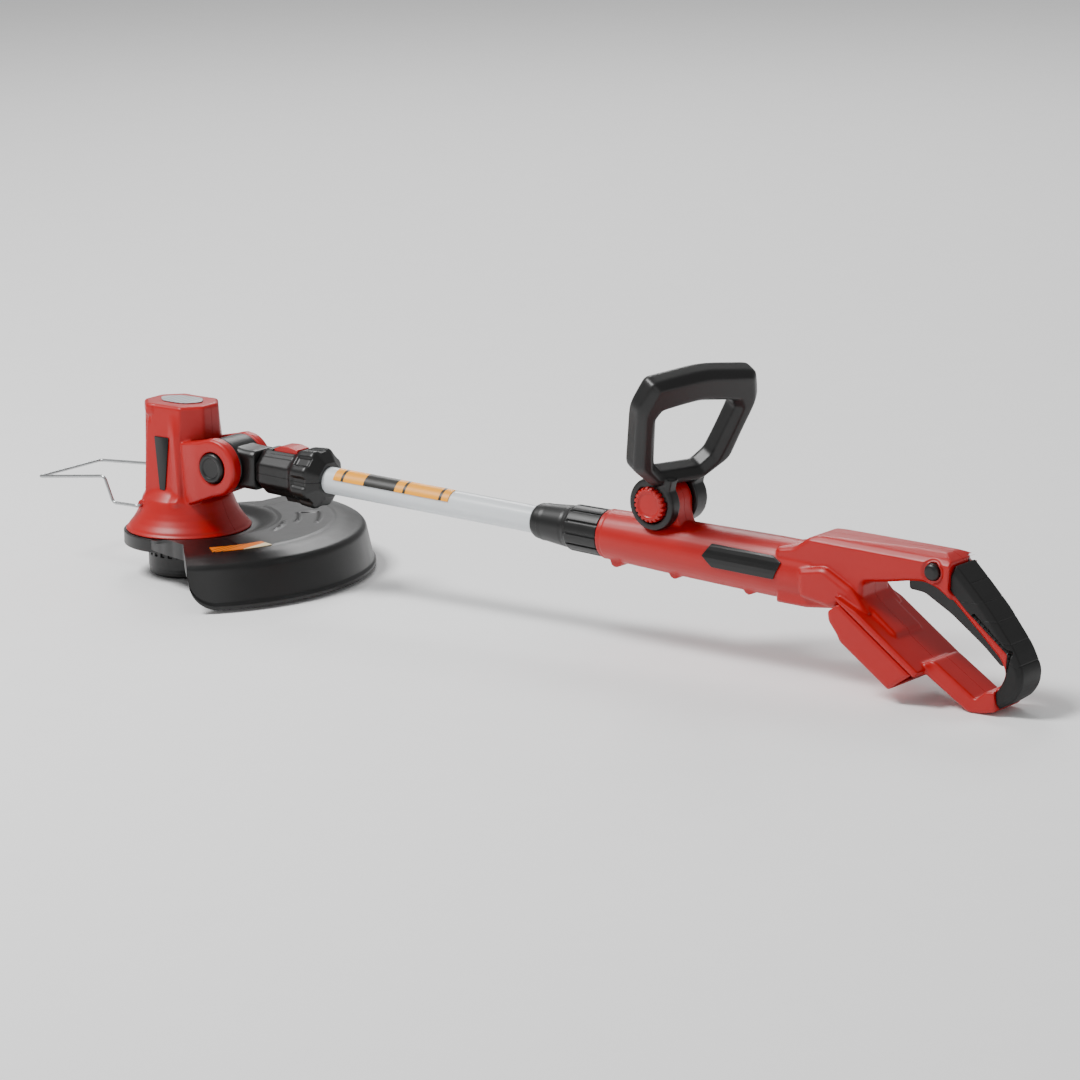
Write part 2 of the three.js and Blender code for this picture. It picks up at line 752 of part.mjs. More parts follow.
function collarScrew([u, v]) {
  return join(rodZ(u, v, 3, -14.2, -12 - GAP, 12), rodZ(u, v, 1.4, -13, 10, 10));
}

function collarButton() {
  const side = outline([
    [BUTTON.from, BUTTON.base],
    [BUTTON.to, BUTTON.base],
    [BUTTON.to, BUTTON.top - 1, 1],
    [BUTTON.to - 8, BUTTON.top + 0.8, 3],
    [BUTTON.from + 7, BUTTON.top + 0.2, 3],
    [BUTTON.from, BUTTON.top - 3, 1],
  ]);
  return acrossY(side, -BUTTON.half, BUTTON.half, 0.8);
}

function collarSpring() {
  const low = SPIGOT_R - 1.1;
  return box(TUBE_FRONT + 1.2, BUTTON.to - 1, -3, 3, low, low + 0.5);
}

// ---------------------------------------------------------------- tube

function shaftTube() {
  return turnedX(ringProfile(TUBE_R - TUBE_WALL, TUBE_R, TUBE_FRONT, TUBE_BACK), 32);
}

function motorLead() {
  return rodX(0, 0, 2.5, TUBE_FRONT + 2, TUBE_BACK + 8, 8);
}

const LABEL_FRONT = COLLAR_END + 12;

function tubeLabel() {
  const skin = turnedX(ringProfile(TUBE_R + GAP, TUBE_R + GAP + 0.5, LABEL_FRONT, LABEL_FRONT + 122), 48);
  const wedge = new THREE.Shape([new THREE.Vector2(0, 0), sectorCorner(30, 2), sectorCorner(30, 70)]);
  const sector = solid(extruded(wedge, 160, 0).applyMatrix4(alongX(LABEL_FRONT - 10)));
  return skin.intersect(sector);
}

// A corner of the label's sector, by its angle from straight up towards the user's left.
function sectorCorner(r, angle) {
  return new THREE.Vector2(-r * Math.sin(degrees(angle)), r * Math.cos(degrees(angle)));
}

// Carries an outline drawn in y and z along x, from the given place.
function alongX(from) {
  const x = new THREE.Vector3(1, 0, 0);
  const y = new THREE.Vector3(0, 1, 0);
  const z = new THREE.Vector3(0, 0, 1);
  return new THREE.Matrix4().makeBasis(y, z, x).setPosition(from, 0, 0);
}

// ---------------------------------------------------------------- clamp nut

const NUT_BACK = BARREL_FRONT - RUN;
const NUT_THROAT = 8; // closed front of the nut
const COLLET_BACK = NUT_FRONT + 26;

function clampNut() {
  const grooves = Array.from({ length: 12 }, (_, i) => {
    const groove = box(NUT_FRONT + 34, NUT_BACK + 1, -1.4, 1.4, NOSE_R + 3.2, NOSE_R + 9);
    return groove.rotate([30 * i, 0, 0]);
  });
  const profile = [
    [TUBE_R + RUN, NUT_FRONT],
    [TUBE_R + 1.65, NUT_FRONT],
    [TUBE_R + 3.25, NUT_FRONT + 3],
    [NOSE_R + 2.6, NUT_FRONT + 38],
    [NOSE_R + 3.8, NUT_FRONT + 39],
    [NOSE_R + 4.4, NUT_BACK],
    [NOSE_R + RUN, NUT_BACK],
    [NOSE_R + RUN, NUT_FRONT + NUT_THROAT],
    [TUBE_R + RUN, NUT_FRONT + NUT_THROAT],
    [TUBE_R + RUN, NUT_FRONT],
  ];
  return cut(turnedX(profile, 32), ...grooves);
}

function collet() {
  return turnedX(ringProfile(TUBE_R + GAP, NOSE_R, NUT_FRONT + NUT_THROAT + GAP, COLLET_BACK), 28);
}

// ---------------------------------------------------------------- rear handle

const BORE_R = TUBE_R + 0.85;
const BARREL_WAIST = BARREL_FRONT + 74; // the barrel widens quickly up to here, and slowly up to its back
const BARREL_WAIST_R = BARREL_R - 1.6;
const BARREL_BACK = 560;
const [FOOT_U, FOOT_W] = FOOT;

// The battery platform slopes down and back. Its own frame starts at the upper end of its parting line.
const PLATFORM_START = [656, -14.5];
const PLATFORM_ANGLE = -34;
const PLATFORM_LENGTH = 69;
const PLATFORM_THICK = 6;

function onPlatform(along, above, r = 0) {
  const c = Math.cos(degrees(PLATFORM_ANGLE));
  const s = Math.sin(degrees(PLATFORM_ANGLE));
  const [u, w] = PLATFORM_START;
  return [u + along * c - above * s, w + along * s + above * c, r];
}

function barrel() {
  return turnedX([
    [0, BARREL_FRONT],
    [19.6, BARREL_FRONT],
    [20.4, BARREL_FRONT + 1],
    [BARREL_WAIST_R, BARREL_WAIST],
    [BARREL_R, BARREL_BACK],
    [BARREL_R, 606],
    [0, 606],
  ]);
}

function handleEar() {
  const [u, w] = HANDLE_PIVOT;
  const ear = outline([
    [u - EAR_R - 7, 12],
    [u + EAR_R + 7, 12],
    [u + EAR_R, w - 10, 6],
    [u + EAR_R, w],
    [u - EAR_R, w],
    [u - EAR_R, w - 10, 6],
  ]);
  return join(acrossY(ear, -EAR_HALF, EAR_HALF), rodY(u, w, EAR_R, -EAR_HALF, EAR_HALF, 32));
}

function forkClearance() {
  const [u, w] = HANDLE_PIVOT;
  const r = FORK_R + 0.8;
  const inner = EAR_HALF + 0.01;
  return join(rodY(u, w, r, inner, 40, 32), rodY(u, w, r, -40, -inner, 32));
}

// Shoulder, upper beam and the block in front of the hand opening.
function beam() {
  return acrossY(outline([
    [572, 20],
    [589, 23.5, 4],
    [603, 34, 4],
    [613, 35.4, 3],
    [722, 38.6, 5],
    [737, 31, 3],
    [733, 4],
    [720, 12, 4],
    [708, 15.2, 4],
    [695, 13.5, 4],
    [676, 9.5, 3],
    [652, 5.5, 5],
    [652.5, -9, 4],
    [684, -30.5, 3],
    [684.5, -33.7],
    onPlatform(PLATFORM_LENGTH, 0),
    onPlatform(PLATFORM_LENGTH, -PLATFORM_THICK),
    onPlatform(0, -PLATFORM_THICK),
    [626, -20],
    [600, -23.6],
    [572, -23.6],
  ]), -CORE_HALF, CORE_HALF, 2.5).intersect(roofSection());
}

// The beam's section: its roof is flat in the middle and falls off to both sides.
function roofSection() {
  const section = symmetric([[60, -90], [60, 0], [CORE_HALF, 31], [15.5, 35], [8, 38]]);
  return solid(extruded(section, 300, 0).applyMatrix4(alongX(540)));
}

function platform() {
  return acrossY(outline([
    onPlatform(-22, -4),
    onPlatform(0, 0),
    onPlatform(PLATFORM_LENGTH, 0),
    onPlatform(PLATFORM_LENGTH, -PLATFORM_THICK),
    onPlatform(-16, -PLATFORM_THICK),
  ]), -PLATFORM_HALF, PLATFORM_HALF, 1);
}

// The side of the shoulder, which widens from the barrel to the platform.
function flank() {
  return acrossY(outline([
    [596, 8],
    [620, 13, 4],
    [646, 0, 3],
    [662, -17],
    [640, -12],
    [626, -18],
    [598, -14],
  ]), -26, 26, 3);
}

const GRIP_BACK = [
  [734, 31],
  [751.5, 14.5, 6],
  [767, -1, 6],
  [788, -27, 6],
  [796.6, -44, 5],
  [795.5, -56, 5],
  [789, -66, 5],
  [775, -75.5],
];
const GRIP_FRONT = [
  [762, -64],
  [775, -58, 4],
  [780.5, -46, 5],
  [775, -36, 4],
  [745, -9],
  [730, 4],
  [718, 16],
];
const SKIN = 3.2; // thickness of the soft grip

function grip() {
  return acrossY(outline([...GRIP_BACK, ...GRIP_FRONT]), -GRIP_HALF, GRIP_HALF, 4);
}

function lowerBar() {
  return acrossY(outline([
    onPlatform(PLATFORM_LENGTH - 11, -1),
    onPlatform(PLATFORM_LENGTH - 6, 0.5, 2),
    [718, -45.3, 3],
    [757.5, -69.5, 3],
    [766, -61.5, 3],
    [786, -58],
    [792, -65, 4],
    [776, -76.5, 6],
    [FOOT_U + 6, FOOT_W + 0.4, 3],
    [FOOT_U - 6, FOOT_W - 0.8, 3],
    onPlatform(PLATFORM_LENGTH - 1, -5),
  ]), -BAR_HALF, BAR_HALF, 1.5);
}

function nose() {
  return rodX(0, 0, NOSE_R, COLLET_BACK + GAP, BARREL_FRONT + 4, 28);
}

// The room inside: the tube's bore, the chamber for switch and board, and the slot for the trigger.
function handleRoom() {
  const chamber = outline([
    [548, -13],
    [548, 13],
    [592, 18],
    [612, 26],
    [700, 29],
    [700, 19],
    [648, 12],
    [646, -8],
    [628, -13],
  ]);
  return join(
    rodX(0, 0, BORE_R, 300, 552, 28),
    acrossY(chamber, -CORE_HALF + HOUSING_WALL, CORE_HALF - HOUSING_WALL),
    acrossY(triggerRoom(), -TRIGGER_HALF - RUN, TRIGGER_HALF + RUN),
  );
}

const HANDLE_SCREWS = [[411, -18.5], [469, -18.5], [541, -19.5], [729, 31]];
const TRIGGER_PIN = [697, 15.5];
const LOCK_BUTTON = [717, 24.5];
const LOCK_R = 6.6;

function screwHoles() {
  return HANDLE_SCREWS.flatMap(([u, w]) => [rodY(u, w, 1.8, -8, 60, 10), rodY(u, w, 3.5, 8, 60, 12)]);
}

function handleScrew([u, w]) {
  return join(rodY(u, w, 3, 5.6, 7.7, 12), rodY(u, w, 1.4, -7.5, 7, 10)).translate([0, 3, 0]);
}

// The ground's surface, seen from the shaft's frame: what lies below it is ground off the foot.
function ground() {
  const slab = box(FOOT_U - 60, FOOT_U + 60, -60, 60, -20, 0);
  const turn = THREE.MathUtils.radToDeg(SHAFT_SLOPE);
  return slab.translate([-FOOT_U, 0, 0]).rotate([0, -turn, 0]).translate([FOOT_U, 0, FOOT_W]);
}

function handleSolid() {
  const bosses = HANDLE_SCREWS.slice(0, 3).map(([u, w]) => rodY(u, w, 5, -12, 12, 16));
  const rear = join(beam(), flank(), platform(), grip(), lowerBar());
  const whole = join(barrel(), nose(), handleEar(), rear, ...bosses);
  return cut(
    whole,
    handleRoom(),
    forkClearance(),
    gripSkinRoom(),
    ...screwHoles(),
    rodY(...HANDLE_PIVOT, 3 + RUN, -50, 50),
    rodY(...TRIGGER_PIN, 2 + GAP, -15, 15, 12),
    rodY(...LOCK_BUTTON, LOCK_R + RUN, -50, 50, 24),
    ground(),
  );
}

function handleHousing(side) {
  const [from, to] = side > 0 ? [GAP / 2, 70] : [-70, -GAP / 2];
  return wholeHandle.intersect(box(300, 900, from, to, -120, 120));
}

// The soft grip wraps the hand grip behind this line.
function softRegion(inset) {
  const front = [[733, 60], [731, 12], [746, -2], [783, -30], [782, -46], [774, -62], [777, -90]];
  return acrossY(outline([...front.map(([u, w]) => [u + inset, w]), [850, -90], [850, 60]]), -60, 60);
}

// The hard core under the soft grip.
function gripCore(depth) {
  const corners = inset([...GRIP_BACK, ...GRIP_FRONT].map(([u, w]) => [u, w]), depth);
  return acrossY(outline(corners), depth - GRIP_HALF, GRIP_HALF - depth);
}

// The same corners moved inwards, square to the two sides that meet there.
function inset(corners, depth) {
  return corners.map(([x, y], i) => {
    const corner = new THREE.Vector2(x, y);
    const along = stepTowards(corner, corners[(i + 1) % corners.length], 1).sub(corner);
    const back = stepTowards(corner, corners.at(i - 1), 1).sub(corner);
    const middle = along.clone().sub(back).normalize();
    const reach = depth / Math.abs(middle.dot(along));
    return [x + middle.y * reach, y - middle.x * reach];
  });
}

function gripSkinRoom() {
  return cut(softRegion(0), gripCore(SKIN));
}

function rearGrip() {
  const back = acrossY(outline([...GRIP_BACK, ...GRIP_FRONT]), -GRIP_HALF - 1, GRIP_HALF + 1, 4);
  return cut(back.intersect(softRegion(GAP)), gripCore(SKIN - GAP));
}

// The shell under the platform holds the battery, which slides in from its open lower end.
const SHELL_TOP = -PLATFORM_THICK - GAP;
const SHELL_FLOOR = -30.5;

function lowerShell() {
  const outer = outline([
    onPlatform(-18, SHELL_TOP),
    onPlatform(-20, -18.5, 2),
    onPlatform(-15, -24, 2),
    onPlatform(-2, -28, 2),
    onPlatform(2, SHELL_FLOOR, 2),
    onPlatform(57, SHELL_FLOOR),
    onPlatform(66, SHELL_TOP),
  ]);
  const bay = outline([
    onPlatform(-10, SHELL_TOP + 5),
    onPlatform(-10, -20, 3),
    onPlatform(3, SHELL_FLOOR + 3),
    onPlatform(90, SHELL_FLOOR + 3),
    onPlatform(90, SHELL_TOP + 5),
  ]);
  const shell = cut(
    acrossY(outer, -PLATFORM_HALF, PLATFORM_HALF, 2),
    acrossY(bay, 3 - PLATFORM_HALF, PLATFORM_HALF - 3),
  );
  return cut(shell, gapRoom(), wholeHandle.translate([-GAP, 0, -GAP]));
}

// A little room under the platform and flanks, so that the lower shell meets them without touching.
function gapRoom() {
  const lid = outline([
    onPlatform(-60, SHELL_TOP),
    onPlatform(90, SHELL_TOP),
    onPlatform(90, 30),
    onPlatform(-60, 30),
  ]);
  const front = outline([[560, -60], [624.5, -60], [624.5, -22], [640, -11], [660, -16.5], [560, 20]]);
  return join(acrossY(lid, -60, 60), acrossY(front, -60, 60));
}

function batteryTerminal() {
  const block = outline([
    onPlatform(6, SHELL_TOP - 0.2),
    onPlatform(30, SHELL_TOP - 0.2),
    onPlatform(30, -13),
    onPlatform(6, -13),
  ]);
  return acrossY(block, -18, 18);
}

function switchModule() {
  return box(655, 683, -9, 9, 17.2, 26.4);
}

function controlBoard() {
  return box(575, 642, -13, 13, 3, 4.6);
}

// The back of the barrel's round outside, grown outwards.
function barrelSkin(grow) {
  const front = 490;
  const [waist, back] = [BARREL_WAIST, BARREL_BACK];
  const slope = (BARREL_R - BARREL_WAIST_R) / (back - waist);
  return turnedX([
    [0, front],
    [BARREL_WAIST_R + slope * (front - waist) + grow, front],
    [BARREL_R + grow, back],
    [BARREL_R + grow, back + 30],
    [0, back + 30],
  ], 48);
}

function handlePlate() {
  const face = outline([[504, 4], [511, 14], [570, 14], [579, 10], [573, -4], [514, -4]]);
  const skin = cut(barrelSkin(1.2), barrelSkin(GAP));
  return skin.intersect(acrossY(face, -60, -5));
}

// ---------------------------------------------------------------- trigger and lock button

function triggerSide() {
  return outline([
    [688, 10, 2],
    [688.5, 4, 2],
    [702, 3.3, 3],
    [727, -9.5, 6],
    [757, -30, 6],
    [773, -43.5, 2.5],
    [779.5, -40, 2.5],
    [773, -31, 4],
    [745, -6, 4],
    [726, 9, 4],
    [712, 18, 4],
    [700, 20, 3],
    [690, 18, 3],
  ]);
}

function triggerRoom() {
  return outline([
    [684, 22],
    [684, 0],
    [700, -4],
    [727, -16],
    [757, -37],
    [776, -52],
    [782, -44, 2],
    [784, -35, 2],
    [770, -18],
    [748, 2],
    [728, 16],
    [712, 23],
  ]);
}

function trigger() {
  const lever = acrossY(triggerSide(), -TRIGGER_HALF, TRIGGER_HALF, 1);
  return cut(lever, rodY(...TRIGGER_PIN, 2 + RUN, -20, 20, 12), rodY(...TRIGGER_PIN, 4.8, 3, 20));
}

function triggerPin() {
  return rodY(...TRIGGER_PIN, 2, -13, 13, 12);
}

// A torsion spring round the pin, in a recess of the trigger's right side.
function triggerSpring() {
  const wire = 0.45;
  const coil = bar(new Helix(3.6, 3, 3), wire, 5, 48).rotate([-90, 0, 0]);
  return coil.translate([TRIGGER_PIN[0], 3 + wire + GAP, TRIGGER_PIN[1]]);
}

function lockOffButton() {
  const button = turnedY([
    [0, -CORE_HALF - 3.5],
    [LOCK_R - 1, -CORE_HALF - 3.5],
    [LOCK_R, -CORE_HALF - 2.5],
    [LOCK_R, CORE_HALF],
    [0, CORE_HALF],
  ], 24);
  return button.translate([LOCK_BUTTON[0], 0, LOCK_BUTTON[1]]);
}

// ---------------------------------------------------------------- front handle

// The right half of an outline that is the same left and right, from bottom to top, completed to the whole.
function symmetric(half) {
  const left = half.toReversed().filter(([v]) => v > 0).map(([v, s, r]) => [-v, s, r]);
  return outline([...half, ...left]);
}

function frontLoop() {
  const outer = 58.2; // half the loop's width
  const inner = outer - LOOP_BAR;
  const loop = symmetric([
    [22, 19],
    [46.5, 38, 4],
    [outer, 95, 8],
    [49.6, 119.5, 8],
    [0, 126, 30],
  ]);
  const hole = symmetric([
    [inner - 22, 31.5, 3],
    [inner - 11, 42, 3],
    [inner, 88, 5],
    [37, 97.5, 5],
    [0, 102, 20],
  ]);
  loop.holes.push(hole);
  const flat = extruded(loop, LOOP_DEPTH, 4).translate(0, 0, -LOOP_DEPTH / 2);
  return solid(flat.applyMatrix4(alongX(0))).rotate([0, LOOP_LEAN, 0]).rotate([0, 0, LOOP_YAW]);
}

function fork(side) {
  const inner = EAR_HALF + RUN;
  const [from, to] = side > 0 ? [inner, FAR_FORK] : [-NEAR_FORK, -inner];
  const arm = outline([[-13, 8], [13, 8], [10, 26], [-10, 26]]);
  const neck = acrossY(arm, from, to).rotate([0, LOOP_LEAN, 0]);
  return join(rodY(0, 0, FORK_R, from, to, 36), neck);
}

function frontHandle() {
  const whole = join(frontLoop(), fork(1), fork(-1));
  const earRoom = rodY(0, 0, EAR_R + 1.4, -EAR_HALF - RUN, EAR_HALF + RUN, 32);
  return cut(
    whole,
    earRoom,
    rodY(0, 0, 3 + RUN, -60, 60),
    rodY(0, 0, KNOB_R + 1.2, -60, -NEAR_FORK + 6, 32),
    rodY(0, 0, 7, FAR_FORK - 5, 60, 6),
  );
}

function handleKnob() {
  const knob = turnedY([
    [0, -NEAR_FORK - 3.5],
    [KNOB_R - 1.5, -NEAR_FORK - 3.5],
    [KNOB_R, -NEAR_FORK - 2],
    [KNOB_R, -NEAR_FORK + 6 - GAP],
    [0, -NEAR_FORK + 6 - GAP],
  ], 40);
  const notch = rodY(KNOB_R + 0.4, 0, 1.2, -NEAR_FORK - 10, 0, 6);
  const notches = Array.from({ length: 20 }, (_, i) => notch.rotate([0, 18 * i, 0]));
  return cut(knob, ...notches, rodY(0, 0, 3 + GAP, -NEAR_FORK, 0, 12));
}

function handleBolt() {
  const nut = rodY(0, 0, 6.2, FAR_FORK - 5 + GAP, FAR_FORK - 0.5, 6);
  return join(rodY(0, 0, 3, 1 - NEAR_FORK, FAR_FORK - 3), nut);
}

// ---------------------------------------------------------------- assembly

const wholeHandle = handleSolid();

function cuttingHead() {
  const group = new THREE.Group();
  group.add(
    piece("spool_cap", spoolCap(), blackPlastic()),
    piece("bump_button", bumpButton(), blackPlastic()),
    piece("line_spool", lineSpool(), blackPlastic()),
    piece("line_pack", linePack(), finish("#d8551e", 0.35, 0)),
    piece("feed_spring", feedSpring(), steel()),
    piece("eyelet_front", eyelet(-1), steel()),
    piece("eyelet_back", eyelet(1), steel()),
    piece("drive_hub", driveHub(), blackPlastic()),
    piece("motor_shaft", motorShaft(), steel()),
    piece("motor_can", motorCan(), steel()),
    piece("motor_mount", motorMount(), steel()),
    piece("head_housing_left", headHousing(-1), redPlastic()),
    piece("head_housing_right", headHousing(1), redPlastic()),
    piece("head_name_plate", headNamePlate(), blackPlastic()),
    piece("head_top_label", headTopLabel(), labelFilm("#c9cdcf")),
    piece("pivot_bolt", pivotBolt(), steel()),
    piece("pivot_button", pivotButton(), blackPlastic()),
    piece("pivot_cap", pivotCap(), blackPlastic()),
    piece("pivot_spring", pivotSpring(), steel()),
    piece("wire_guard", wireGuard(), steel()),
    piece("guard", guard(), blackPlastic()),
    piece("guard_label", guardLabel(), labelFilm("#f0a020")),
    piece("cutter_blade", cutterBlade(), steel()),
    piece("cutter_screw_1", cutterScrew(-4), steel()),
    piece("cutter_screw_2", cutterScrew(5), steel()),
  );
  GUARD_SCREWS.forEach((angle, i) => group.add(piece(`guard_screw_${i + 1}`, guardScrew(angle), steel())));
  return group;
}

function neckAndTube() {
  const group = new THREE.Group();
  group.add(
    piece("pivot_knuckle", pivotKnuckle(), blackPlastic()),
    piece("collar_upper", collarUpper(), blackPlastic()),
    piece("collar_lower", collarLower(), blackPlastic()),
    piece("collar_screw_1", collarScrew(COLLAR_SCREWS[0]), steel()),
    piece("collar_screw_2", collarScrew(COLLAR_SCREWS[1]), steel()),
    piece("collar_button", collarButton(), redPlastic()),
    piece("collar_spring", collarSpring(), steel()),
    piece("shaft_tube", shaftTube(), finish("#dfe3e5", 0.3, 0.1)),
    piece("motor_lead", motorLead(), softRubber()),
    piece("tube_label", tubeLabel(), labelFilm("#ffd21a")),
  );
  return group;
}

function rearHandle() {
  const group = new THREE.Group();
  group.add(
    piece("clamp_nut", clampNut(), blackPlastic()),
    piece("collet", collet(), greyPlastic()),
    piece("handle_housing_left", handleHousing(-1), redPlastic()),
    piece("handle_housing_right", handleHousing(1), redPlastic()),
    piece("lower_shell", lowerShell(), redPlastic()),
    piece("rear_grip", rearGrip(), softRubber()),
    piece("trigger", trigger(), blackPlastic()),
    piece("trigger_pin", triggerPin(), steel()),
    piece("trigger_spring", triggerSpring(), steel()),
    piece("lock_off_button", lockOffButton(), blackPlastic()),
    piece("switch_module", switchModule(), blackPlastic()),
    piece("control_board", controlBoard(), finish("#1f6b3a", 0.5, 0)),
    piece("battery_terminal", batteryTerminal(), blackPlastic()),
    piece("handle_plate", handlePlate(), blackPlastic()),
  );
  HANDLE_SCREWS.forEach((place, i) => group.add(piece(`handle_screw_${i + 1}`, handleScrew(place), steel())));
  return group;
}

function frontHandleGroup() {
  const group = new THREE.Group();
  group.add(
    piece("front_handle", frontHandle(), blackPlastic()),
    piece("handle_knob", handleKnob(), redPlastic()),
    piece("handle_bolt", handleBolt(), steel()),
  );
  group.position.set(HANDLE_PIVOT[0], 0, HANDLE_PIVOT[1]);
  return group;
}

const shaftLine = new THREE.Group();
shaftLine.position.set(PIVOT_X, 0, PIVOT_Z);
shaftLine.rotation.y = SHAFT_SLOPE;
shaftLine.add(neckAndTube(), rearHandle(), frontHandleGroup());

const trimmer = new THREE.Group();
trimmer.name = "string_trimmer";
trimmer.add(cuttingHead(), shaftLine);

export default trimmer;
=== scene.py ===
"""Cordless string trimmer: the fine surfaces and finishes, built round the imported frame.

Everything is in metres in the frame's own axes: +X runs back to the user's hand, +Z is up and -Y is the
user's left. Shapes are drawn in millimetres and scaled once, when a mesh is made.
"""
import json
import logging
import math
from dataclasses import dataclass, field
from enum import Enum
from typing import Callable, Sequence

import bmesh
import bpy
import numpy as np
from mathutils import Matrix, Vector


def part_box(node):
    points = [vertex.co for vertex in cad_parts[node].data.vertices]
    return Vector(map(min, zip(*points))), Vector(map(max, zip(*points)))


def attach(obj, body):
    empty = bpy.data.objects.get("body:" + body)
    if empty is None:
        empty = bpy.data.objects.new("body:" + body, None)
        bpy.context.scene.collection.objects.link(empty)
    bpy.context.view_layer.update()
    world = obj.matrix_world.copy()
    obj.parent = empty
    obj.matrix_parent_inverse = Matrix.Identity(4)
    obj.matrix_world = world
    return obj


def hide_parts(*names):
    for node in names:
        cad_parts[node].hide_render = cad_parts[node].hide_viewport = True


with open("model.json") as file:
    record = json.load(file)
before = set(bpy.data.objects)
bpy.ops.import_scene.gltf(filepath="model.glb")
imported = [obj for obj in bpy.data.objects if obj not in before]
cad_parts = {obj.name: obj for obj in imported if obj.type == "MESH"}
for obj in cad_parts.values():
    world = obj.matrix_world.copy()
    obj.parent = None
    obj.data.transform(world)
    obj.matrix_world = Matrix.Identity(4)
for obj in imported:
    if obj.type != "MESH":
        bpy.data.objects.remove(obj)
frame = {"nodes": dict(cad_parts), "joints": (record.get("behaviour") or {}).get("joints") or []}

logging.basicConfig(level=logging.INFO, format="%(message)s")
log = logging.getLogger("trimmer")

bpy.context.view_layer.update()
MM = 0.001
TAU = 2 * math.pi
Grid = np.ndarray
Points = np.ndarray
ARC_STEPS = 5  # of a rounded corner in a profile
SECTION_UP = np.array([0.13, 0.21, 0.97])  # no stretch of the wire runs this way
MERGE_DISTANCE = 1e-5  # metres
FLAT_ANGLE = 1.0  # degrees between faces that count as one flat field
SHARP_CREASE = 38.0  # degrees; edges sharper than this stay sharp on drawn pieces
SOFT_CREASE = 50.0  # the same on remeshed pieces, whose edges are rounded by the mesh itself
JOINT_GAP = 0.3  # millimetres between the halves of a housing
JOINT_OVERLAP = 0.9  # how far a half's flat joint is pushed past the middle before it is fused


# ------------------------------------------------------------------ places


class Axis(Enum):
    """The line that a turned piece runs along."""

    X = (1, 2, 0)
    Y = (2, 0, 1)
    Z = (0, 1, 2)


@dataclass(frozen=True)
class Place:
    """An origin and a slope about Y that carry local millimetres into the frame."""

    x: float = 0.0
    z: float = 0.0
    slope: float = 0.0

    def world(self, local: Points) -> Points:
        """Turns local points by the slope and moves them to the origin.

        Args:
            local: points in millimetres, last axis x, y, z.
        Returns:
            The same array in the frame's axes, in millimetres.
        """
        c, s = math.cos(self.slope), math.sin(self.slope)
        u, v, w = local[..., 0], local[..., 1], local[..., 2]
        return np.stack([self.x + u * c + w * s, v, self.z - u * s + w * c], axis=-1)

    def local(self, world: Points) -> Points:
        """Undoes world()."""
        c, s = math.cos(self.slope), math.sin(self.slope)
        x, z = world[..., 0] - self.x, world[..., 2] - self.z
        return np.stack([x * c - z * s, world[..., 1], x * s + z * c], axis=-1)


def middle(node: str) -> Vector:
    """The centre of a node's box, in millimetres."""
    low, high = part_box(node)
    return (low + high) / 2 / MM


def shaft_place() -> Place:
    """The tube's line: through the tilt bolt, along the joint that the tube slides on."""
    slide = next(j for j in frame["joints"] if j["name"] == "tube_slide")
    x, _, z = slide["axis"]
    bolt = middle("pivot_bolt")
    return Place(bolt.x, bolt.z, abs(math.atan(z / x)))


GROUND = Place()
SHAFT = shaft_place()
PIVOT = middle("pivot_bolt")


# ------------------------------------------------------------------ numbers on grids


def ease(t: Grid) -> Grid:
    """A smooth step from 0 to 1: 3t^2 - 2t^3 of t held between 0 and 1."""
    t = np.clip(t, 0, 1)
    return t * t * (3 - 2 * t)


def band(t: Grid, low: float, high: float, edge: float) -> Grid:
    """1 between low and high, easing to 0 over the edge width outside them."""
    return ease((t - low + edge) / edge) * ease((high + edge - t) / edge)


def blended_max(a: Grid, b: Grid, fillet: float) -> Grid:
    """The larger of two heights, with a fillet where they meet.

    Formula: h = clamp(1/2 + (a - b) / 2f); result = h a + (1 - h) b + f h (1 - h).
    """
    h = np.clip(0.5 + 0.5 * (a - b) / fillet, 0, 1)
    return h * a + (1 - h) * b + fillet * h * (1 - h)


def turns(count: int) -> Grid:
    """Evenly spaced angles once round, without the repeated end."""
    return np.linspace(0, TAU, count, endpoint=False)


def polygon_reach(angles: Grid, normals: Sequence[float], depths: Sequence[Grid], crispness: float) -> Grid:
    """How far a polygon with softened corners reaches in each direction.

    Formula: 1 / r = (sum over sides of max(0, cos(angle - normal) / depth)^p)^(1/p); p is the crispness.

    Args:
        angles: directions from the centre.
        normals: direction in which each side faces.
        depths: distance of each side from the centre.
        crispness: the power p; the corners are rounder as it falls.
    Returns:
        The distance from the centre to the outline.
    """
    total = sum(
        np.maximum(np.cos(angles - normal) / depth, 0) ** crispness for normal, depth in zip(normals, depths)
    )
    return total ** (-1 / crispness)


def sides_of(corners: Sequence[Sequence[float]],
             centre: Sequence[float] = (0, 0)) -> tuple[list[float], list[float]]:
    """The facing direction and distance of each side of a convex outline given anticlockwise."""
    points = np.array(corners, float) - np.array(centre, float)
    run = np.roll(points, -1, axis=0) - points
    normals = np.stack([run[:, 1], -run[:, 0]], axis=1)
    normals /= np.linalg.norm(normals, axis=1, keepdims=True)
    depths = (normals * points).sum(axis=1)
    return list(np.arctan2(normals[:, 1], normals[:, 0])), list(depths)


def mirrored(right: Sequence[tuple[float, float]], top: tuple[float, float]) -> list[tuple[float, float]]:
    """An outline that is the same on both sides, given anticlockwise from its lower left corner."""
    left = [(-x, z) for x, z in reversed(right)]
    return [left[-1], *right, top, *left[:-1]]


